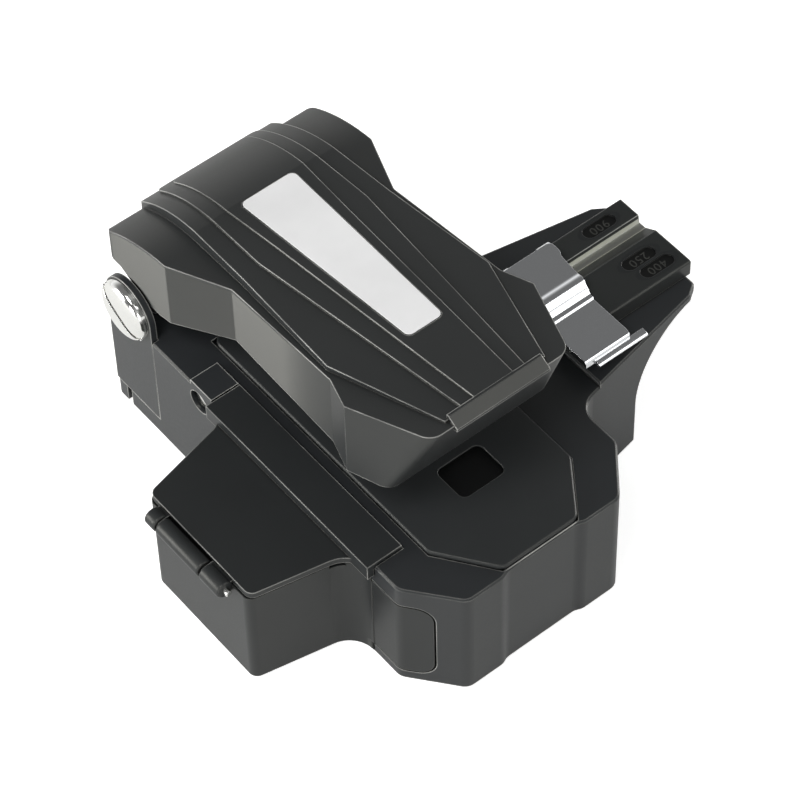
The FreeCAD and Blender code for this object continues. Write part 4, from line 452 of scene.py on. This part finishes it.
def lean_flanks(material, lean):
    """Adds up to lean to the normal's Z where z is below the flank's top. That top is taken
    0.4 mm under the edge: it runs straight from nose_top to curve_top and, at t mm behind
    curve_y, lies tt / curve_length lower. At the nose only least_share of lean is added."""
    tree = material.node_tree
    bump = tree.nodes["Bump"]
    normal = bump.inputs["Normal"].links[0].from_socket
    place = add(tree, "ShaderNodeTexCoord")
    axes = add(tree, "ShaderNodeSeparateXYZ", links={"Vector": place.outputs["Object"]})
    straight = add(tree, "ShaderNodeMapRange",
                   {"From Min": nose_y * mm, "From Max": curve_y * mm,
                    "To Min": nose_top * mm, "To Max": curve_top * mm},
                   {"Value": axes.outputs["Y"]})
    behind = add(tree, "ShaderNodeMath", {1: curve_y * mm}, {0: axes.outputs["Y"]},
                 operation="SUBTRACT")
    past = add(tree, "ShaderNodeMath", {1: 0.0}, {0: behind.outputs[0]}, operation="MAXIMUM")
    square = add(tree, "ShaderNodeMath", links={0: past.outputs[0], 1: past.outputs[0]},
                 operation="MULTIPLY")
    fall = add(tree, "ShaderNodeMath", {1: 1 / (curve_length * mm)}, {0: square.outputs[0]},
               operation="MULTIPLY")
    top = add(tree, "ShaderNodeMath", links={0: straight.outputs["Result"], 1: fall.outputs[0]},
              operation="SUBTRACT")
    below = add(tree, "ShaderNodeMath", links={0: axes.outputs["Z"], 1: top.outputs[0]},
                operation="LESS_THAN")
    along = add(tree, "ShaderNodeMapRange",
                {"From Min": less_lean_y * mm, "From Max": full_lean_y * mm,
                 "To Min": lean * least_share, "To Max": lean},
                {"Value": axes.outputs["Y"]})
    amount = add(tree, "ShaderNodeMath", links={0: below.outputs[0], 1: along.outputs["Result"]},
                 operation="MULTIPLY")
    upward = add(tree, "ShaderNodeCombineXYZ", links={"Z": amount.outputs[0]})
    leaning = add(tree, "ShaderNodeVectorMath", links={0: normal, 1: upward.outputs[0]},
                  operation="ADD")
    unit = add(tree, "ShaderNodeVectorMath", links={0: leaning.outputs[0]}, operation="NORMALIZE")
    tree.links.new(unit.outputs[0], bump.inputs["Normal"])


lean_flanks(lid_coat, lean=0.6)
print("draft on", lid_coat.name)

# %% [markdown]
# ## A groove cut after anodising
# The cable groove of the holder is finished last, so its floor and the foot of its rear wall
# are bare aluminium, and the shallow number fields are a shade darker than the top. A second
# solid could carry the bare metal. Here the finish changes by place, at the depth and on
# the side where the cutter passed.

# %% Bare groove in the holder
floor_z, floor_reach = 33.5, 0.6
rear_wall_y, wall_reach = 4.0, 1.3
field_z, field_reach = 34.55, 0.06
ring_x, ring_y = 5.4, 2.4
number_fields = [(58.5, 8.0), (59.0, -3.6), (60.6, -7.4)]


def cut_groove(material):
    """Bare metal within floor_reach of the groove's floor and wall_reach of its rear wall's
    foot, and a darker coat within field_reach of the fields' floor. Round each field, where
    ((x - cx) / ring_x)^2 + ((y - cy) / ring_y)^2 is below 1, the coat has no pale edge."""
    tree = material.node_tree
    coated = tree.nodes["Principled BSDF"]
    coat = coated.inputs["Base Color"].links[0].from_socket
    place = add(tree, "ShaderNodeTexCoord")
    for x, y in number_fields:
        offset = add(tree, "ShaderNodeMapping",
                     {"Location": (-x / ring_x, -y / ring_y, 0),
                      "Scale": (1 / (ring_x * mm), 1 / (ring_y * mm), 0)},
                     {"Vector": place.outputs["Object"]})
        far = add(tree, "ShaderNodeVectorMath", links={0: offset.outputs[0]}, operation="LENGTH")
        inside = add(tree, "ShaderNodeMath", {1: 1.0}, {0: far.outputs["Value"]},
                     operation="LESS_THAN")
        even_coat = add(tree, "ShaderNodeMix", {"B": paint("#252728")},
                        {"Factor": inside.outputs[0], "A": coat}, data_type="RGBA")
        coat = even_coat.outputs["Result"]
    axes = add(tree, "ShaderNodeSeparateXYZ", links={"Vector": place.outputs["Object"]})
    low = add(tree, "ShaderNodeMath", {1: floor_z * mm, 2: floor_reach * mm},
              {0: axes.outputs["Z"]}, operation="COMPARE")
    behind = add(tree, "ShaderNodeMath", {1: rear_wall_y * mm, 2: wall_reach * mm},
                 {0: axes.outputs["Y"]}, operation="COMPARE")
    bare = add(tree, "ShaderNodeMath", links={0: low.outputs[0], 1: behind.outputs[0]},
               operation="MULTIPLY")
    field = add(tree, "ShaderNodeMath", {1: field_z * mm, 2: field_reach * mm},
                {0: axes.outputs["Z"]}, operation="COMPARE")
    darker = add(tree, "ShaderNodeMix", {"B": paint("#101112")},
                 {"Factor": field.outputs[0], "A": coat}, data_type="RGBA")
    colour = add(tree, "ShaderNodeMix", {"B": paint("#b4b5af")},
                 {"Factor": bare.outputs[0], "A": darker.outputs["Result"]}, data_type="RGBA")
    tree.links.new(colour.outputs["Result"], coated.inputs["Base Color"])
    tree.links.new(bare.outputs[0], coated.inputs["Metallic"])


cut_groove(holder_coat)
print("bare floor in", holder_coat.name)

# %% [markdown]
# ## A skin over rings
# The pieces made anew here are all long or round: a wire, a bent sheet, a turned head, a
# barrel. Each could be a stock solid cut and joined. Here each is one skin over a row of
# closed rings, computed as arrays, so that bends, domes and slots come out as smooth as
# they are given.

# %% Skin over rings
def skin(name, shells, finish, rider, sharp=35, bevel_mm=0.0):
    """Each shell is rings[n, m, 3] in mm. Quads join ring i to i + 1 and point j to j + 1,
    one face closes either end, and a shell whose signed volume is negative is turned."""
    points, faces = [], []
    for rings in shells:
        n, m = rings.shape[:2]
        ahead = np.roll(rings, -1, axis=1)
        volume = np.einsum("nmi,nmi->", np.cross(rings[:-1], ahead[:-1]), rings[1:])
        volume += np.einsum("nmi,nmi->", np.cross(ahead[:-1], ahead[1:]), rings[1:])
        first = sum(len(done) for done in points)
        grid = np.arange(n * m).reshape(n, m) + first
        side = np.roll(grid, -1, axis=1)
        quads = np.stack([grid[:-1], side[:-1], side[1:], grid[1:]], axis=-1)
        shell = quads.reshape(-1, 4).tolist() + [grid[0, ::-1].tolist(), grid[-1].tolist()]
        faces += shell if volume > 0 else [face[::-1] for face in shell]
        points.append(rings.reshape(-1, 3) * mm)
    mesh = bpy.data.meshes.new(name)
    mesh.from_pydata(np.concatenate(points).tolist(), [], faces)
    mesh.shade_smooth()
    mesh.set_sharp_from_angle(angle=math.radians(sharp))
    mesh.materials.append(finish)
    piece = bpy.data.objects.new(name, mesh)
    bpy.context.scene.collection.objects.link(piece)
    if bevel_mm:
        edge = piece.modifiers.new("broken_edges", "BEVEL")
        edge.width = bevel_mm * mm
        edge.segments = 2
        edge.limit_method = "ANGLE"
        edge.angle_limit = math.radians(sharp)
    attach(piece, rider)
    return piece


# %% [markdown]
# ## Hinge screws
# Two large nickel-plated screws close the hinge shaft. Their heads are polished domes with
# a coin slot that runs out at the rim. A disc with a groove would stay flat. Here the head
# is cut into chords beside the slot, so the dome and the slot's walls are exact.

# %% Hinge screws
hinge_y, hinge_z = 52.7, 34.2


def slotted_head(radius, rim, crown, slot_half, slot_off, floor, lean):
    """Chords across the head. At distance u from the middle a chord reaches v = root(rr - uu).
    The height there is rim + (crown - rim)(1 - qq)^0.6 with q = (uu + vv)/rr. Inside the slot,
    which lies slot_off beside the middle, it is floor. Gives rings of (height, u, v) turned by
    lean about the axis."""
    slot_top = math.acos((slot_off + slot_half) / radius)
    slot_bottom = math.acos((slot_off - slot_half) / radius)
    rim_angle, chords, slot_chords, chord_points = 0.07, 22, 4, 33
    above = radius * np.cos(np.linspace(rim_angle, slot_top, chords))
    below = radius * np.cos(np.linspace(slot_bottom, math.pi - rim_angle, chords))
    inside = np.linspace(above[-1], below[0], slot_chords)
    u = np.concatenate([above, inside, below])[:, None]
    in_slot = np.concatenate([above * 0, inside * 0 + 1, below * 0])[:, None]
    v = np.linspace(-1, 1, chord_points)[None, :] * np.sqrt(radius ** 2 - u ** 2)
    dome = rim + (crown - rim) * np.clip(1 - ((u ** 2 + v ** 2) / radius ** 2) ** 2, 0, 1) ** 0.6
    top = np.where(in_slot > 0, floor, dome)
    height = np.concatenate([top, top * 0], axis=1)
    across = np.broadcast_to(u, top.shape)
    across = np.concatenate([across, across], axis=1)
    along = np.concatenate([v, v[:, ::-1]], axis=1)
    return np.stack([height, along * math.cos(lean) - across * math.sin(lean),
                     along * math.sin(lean) + across * math.cos(lean)], axis=-1)


head = slotted_head(radius=6.9, rim=1.0, crown=2.8, slot_half=0.5, slot_off=0.3, floor=1.5,
                    lean=math.radians(32))
shank_radius, shank_in, shank_out, shank_points, ear_face = 1.2, -5.5, 0.3, 24, 27.7
around = np.linspace(0, 2 * math.pi, shank_points, endpoint=False)
shank_ring = np.stack([around * 0, shank_radius * np.cos(around), shank_radius * np.sin(around)],
                      axis=-1)
shank = shank_ring[None] + np.array([[[shank_in, 0, 0]], [[shank_out, 0, 0]]])
for side, sign in (("left", -1), ("right", 1)):
    seat = np.array([ear_face * sign, hinge_y, hinge_z])
    shells = [head * [sign, 1, 1] + seat, shank * [sign, 1, 1] + seat]
    screw = skin(f"hinge_screw_domed_{side}", shells, plated, "base", bevel_mm=0.12)
    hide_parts(f"hinge_screw_{side}")
    print(screw.name, len(screw.data.polygons), "faces")

# %% [markdown]
# ## Lid spring
# A close coil of spring wire on the shaft pushes the lid open. The frame has a sleeve in
# its room. A screw modifier could wind it. Here the wire's circle is carried along the
# helix in closed form, so the pitch and the ends are known.

# %% Lid spring
turns, coil_radius, wire_radius, coil_half = 11, 2.78, 0.58, 7.4
rings_per_turn, wire_points = 32, 12
sweep = np.linspace(0, 2 * math.pi * turns, turns * rings_per_turn + 1)[:, None]
round_wire = np.linspace(0, 2 * math.pi, wire_points, endpoint=False)[None, :]
reach = coil_radius + wire_radius * np.cos(round_wire)
coil = np.stack([
    (sweep / sweep[-1, 0] * 2 - 1) * coil_half + wire_radius * np.sin(round_wire),
    hinge_y + reach * np.cos(sweep),
    hinge_z + reach * np.sin(sweep),
], axis=-1)
spring = skin("lid_spring_coil", [coil], ground, "base")
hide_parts("lid_spring")
print(spring.name, len(spring.data.polygons), "faces")

# %% [markdown]
# ## Fibre clip
# The clip is one strip of stainless sheet: two knuckles rolled round the pin, a flat rear
# wing, two pressed beads with a step down between them, a flat front wing, a lip and a
# rolled hem. It could be a plane with Solidify. Here the sheet is carried along its bent
# side view with a right edge that changes along the way, so every bend has its radius.

# %% Bent and even paths
def bent(corners, radius, steps=8):
    """Path with rounded bends. At corner C, A lies radius before it and B radius after it
    (less where a leg is short), and the bend is (1-t)(1-t)A + 2t(1-t)C + ttB."""
    corners = np.array(corners, float)
    legs = np.diff(corners, axis=0)
    length = np.linalg.norm(legs, axis=1)
    cut = np.minimum(radius, 0.45 * np.minimum(length[:-1], length[1:]))[:, None]
    middle = corners[1:-1]
    start = middle - legs[:-1] / length[:-1, None] * cut
    end = middle + legs[1:] / length[1:, None] * cut
    t = np.linspace(0, 1, steps)[None, :, None]
    start, middle, end = start[:, None], middle[:, None], end[:, None]
    arcs = (1 - t) ** 2 * start + 2 * t * (1 - t) * middle + t ** 2 * end
    return np.concatenate([corners[:1], arcs.reshape(-1, corners.shape[1]), corners[-1:]])


def even(path, step):
    """The same path with points every step along it, found by interpolating the arc length."""
    length = np.concatenate([[0], np.cumsum(np.linalg.norm(np.diff(path, axis=0), axis=1))])
    stations = np.linspace(0, length[-1], int(length[-1] / step) + 2)
    return np.stack([np.interp(stations, length, column) for column in path.T], axis=1)


# %% Sheet along a path
def sheet(path, thick, left, right, columns=7):
    """Sheet along path (y, z) in mm: each ring runs from left to right on the outer side, at
    half the thickness along the path's normal, and back on the inner side."""
    run = np.gradient(path, axis=0)
    run /= np.linalg.norm(run, axis=1, keepdims=True)
    normal = np.stack([run[:, 1], -run[:, 0]], axis=1) * thick / 2
    share = np.linspace(0, 1, columns)[None, :]
    first = (np.zeros(len(path)) + left)[:, None]
    last = (np.zeros(len(path)) + right)[:, None]
    x = first * (1 - share) + last * share
    outer = np.broadcast_to((path + normal)[:, None], (len(path), columns, 2))
    inner = np.broadcast_to((path - normal)[:, None], (len(path), columns, 2))
    both = np.concatenate([outer, inner], axis=1)
    return np.concatenate([np.concatenate([x, x[:, ::-1]], axis=1)[..., None], both], axis=-1)


# %% Strip of the clip
# Side view of the strip as (y, z) in mm, from the pin forwards: the rear wing, the upper
# bead, the step down, the lower bead, the front wing and the lip.
clip_side = [(9.75, 37.15), (-0.3, 37.15), (-1.3, 37.6), (-2.4, 37.6), (-3.3, 36.7), (-4.1, 36.35),
             (-4.9, 35.75), (-5.6, 35.75), (-6.3, 35.3), (-17.35, 35.3), (-17.5, 33.9)]
clip_path = even(bent(clip_side, radius=0.7), step=0.12)
# Right edge in plan as (y, x) in mm: a wider tab by the pin, then a slow taper to the lip.
edge_plan = [(9.8, 45.6), (9.3, 46.8), (6.5, 46.8), (5.6, 46.1), (-1.6, 45.5), (-5.6, 44.7),
             (-16.6, 44.7), (-17.4, 44.3)]
edge_path = bent(edge_plan, radius=0.9)[::-1]
clip_left = 32.8
clip_right = np.interp(clip_path[:, 0], edge_path[:, 0], edge_path[:, 1])
print("strip:", len(clip_path), "stations,", round(float(clip_right.max()) - clip_left, 1),
      "mm at its widest")

# %% Hem and knuckles
hem_side = [(-17.3, 34.25), (-18.1, 34.3), (-18.75, 34.05), (-19.0, 33.85), (-18.6, 33.74),
            (-17.8, 33.8)]
hem_path = even(bent(hem_side, radius=0.3), step=0.06)
# A knuckle starts lead_in wider than its roll and closes on the pin over lead_degrees.
pin_y, pin_z, roll_start, roll_end = 9.6, 35.9, -25, 250
closed_radius, lead_in, lead_degrees = 0.87, 0.38, 80
swing = np.radians(np.linspace(roll_start, roll_end, 60))
left_to_close = np.clip(1 - (np.degrees(swing) - roll_start) / lead_degrees, 0, 1)
roll_radius = closed_radius + lead_in * left_to_close ** 2
knuckle_path = np.stack([pin_y + roll_radius * np.sin(swing), pin_z + roll_radius * np.cos(swing)],
                        axis=1)
print("hem:", len(hem_path), "stations, knuckles:", len(knuckle_path))

# %% Fibre clip
clip_thick, hem_thick, knuckle_thick = 0.5, 0.34, 0.45
hem_left, hem_right = 35.2, 47.9
knuckle_spans = [(clip_left, 36.0), (43.6, 46.7)]
clip_shells = [sheet(clip_path, clip_thick, clip_left, clip_right),
               sheet(hem_path, hem_thick, hem_left, hem_right)]
clip_shells += [sheet(knuckle_path[::-1], knuckle_thick, *span) for span in knuckle_spans]
clip = skin("fibre_clip_sheet", clip_shells, strip, "clip", sharp=40, bevel_mm=0.2)
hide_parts("fibre_clip")
print(clip.name, len(clip.data.polygons), "faces")

# %% [markdown]
# ## Bin hinge
# The bin and its lid meet in a hinge of three moulded barrels on a steel pin: the middle one
# is the bin's, the outer two are the lid's. A rounded cylinder each would do. Here each is a
# circle carried along the pin, drawn in along a quarter circle at both ends.

# %% Bin hinge
bin_pin_x, bin_pin_z = -51.6, 26.6
barrel_radius, barrel_shoulder, barrel_points, end_rings = 2.0, 0.45, 40, 6


def barrel(low, high, radius, shoulder):
    """Rings from y = low to y = high round the pin of the bin hinge. Where the depth d from
    either end is below the shoulder s, the radius is less by s - root(ss - (s - d)(s - d))."""
    quarter = shoulder * (1 - np.cos(np.linspace(0, math.pi / 2, end_rings)))
    stations = np.unique(np.concatenate([low + quarter, high - quarter]))
    depth = np.clip(np.minimum(stations - low, high - stations), 0, shoulder)
    drawn_in = shoulder - np.sqrt(shoulder ** 2 - (shoulder - depth) ** 2)
    reach = (radius - drawn_in)[:, None]
    turn = np.linspace(0, 2 * math.pi, barrel_points, endpoint=False)[None, :]
    y = np.broadcast_to(stations[:, None], (len(stations), barrel_points))
    x, z = bin_pin_x + reach * np.cos(turn), bin_pin_z + reach * np.sin(turn)
    return np.stack([x, y, z], axis=-1)


for name, spans, finish, rider in (
        ("bin_barrel", [(-3.7, 9.8)], bin_moulding, "bin"),
        ("bin_lid_barrels", [(-10.2, -4.1), (10.2, 13.4)], moulding, "bin_lid")):
    shells = [barrel(low, high, barrel_radius, barrel_shoulder) for low, high in spans]
    barrels = skin(name, shells, finish, rider)
    print(barrels.name, len(barrels.data.polygons), "faces")

# %% [markdown]
# ## Numbers on the holder
# Three shallow fields beside the groove carry the coating diameters in micrometres that
# the groove takes. They read from the rear. They could be cut into the solid. Here they
# are thin flat characters on the floor of the fields, like a filled engraving.

# %% Numbers
def number(name, words, place, high, finish, rider):
    """Characters as a flat closed mesh, centred on place in mm, to be read from the rear."""
    capital_share, merge_mm, lift_mm = 0.7, 0.001, 0.04
    letters = bpy.data.curves.new(name, "FONT")
    letters.body = words
    letters.align_x = "CENTER"
    letters.align_y = "CENTER"
    letters.size = high / capital_share * mm
    letters.space_character = 1.12
    letters.extrude = lift_mm * mm
    letters.resolution_u = 4
    typed = bpy.data.objects.new(name, letters)
    bpy.context.scene.collection.objects.link(typed)
    bpy.context.view_layer.update()
    mesh = bpy.data.meshes.new_from_object(typed)
    bpy.data.objects.remove(typed)
    mesh.transform(Matrix.Translation(Vector(place) * mm) @ Matrix.Rotation(math.pi, 4, "Z"))
    soup = bmesh.new()
    soup.from_mesh(mesh)
    bmesh.ops.remove_doubles(soup, verts=soup.verts, dist=merge_mm * mm)
    bmesh.ops.recalc_face_normals(soup, faces=soup.faces)
    soup.to_mesh(mesh)
    soup.free()
    mesh.materials.clear()
    mesh.materials.append(finish)
    piece = bpy.data.objects.new(name, mesh)
    bpy.context.scene.collection.objects.link(piece)
    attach(piece, rider)
    return piece


ink = satin_coat("grey_engraving_fill", "#343533", "#383937", dullness=0.6, peel_mm=0.2,
                 peel_depth_mm=0.001, round_mm=0.05)
number_z, number_high = 34.57, 2.0
for words, field in zip(("900", "250", "400"), number_fields):
    mark = number(f"mark_{words}", words, (*field, number_z), number_high, ink, "base")
    print(mark.name, len(mark.data.polygons), "faces")

# %% [markdown]
# ## Last update
# The last step brings the scene up to date.

# %% Last update
bpy.context.view_layer.update()
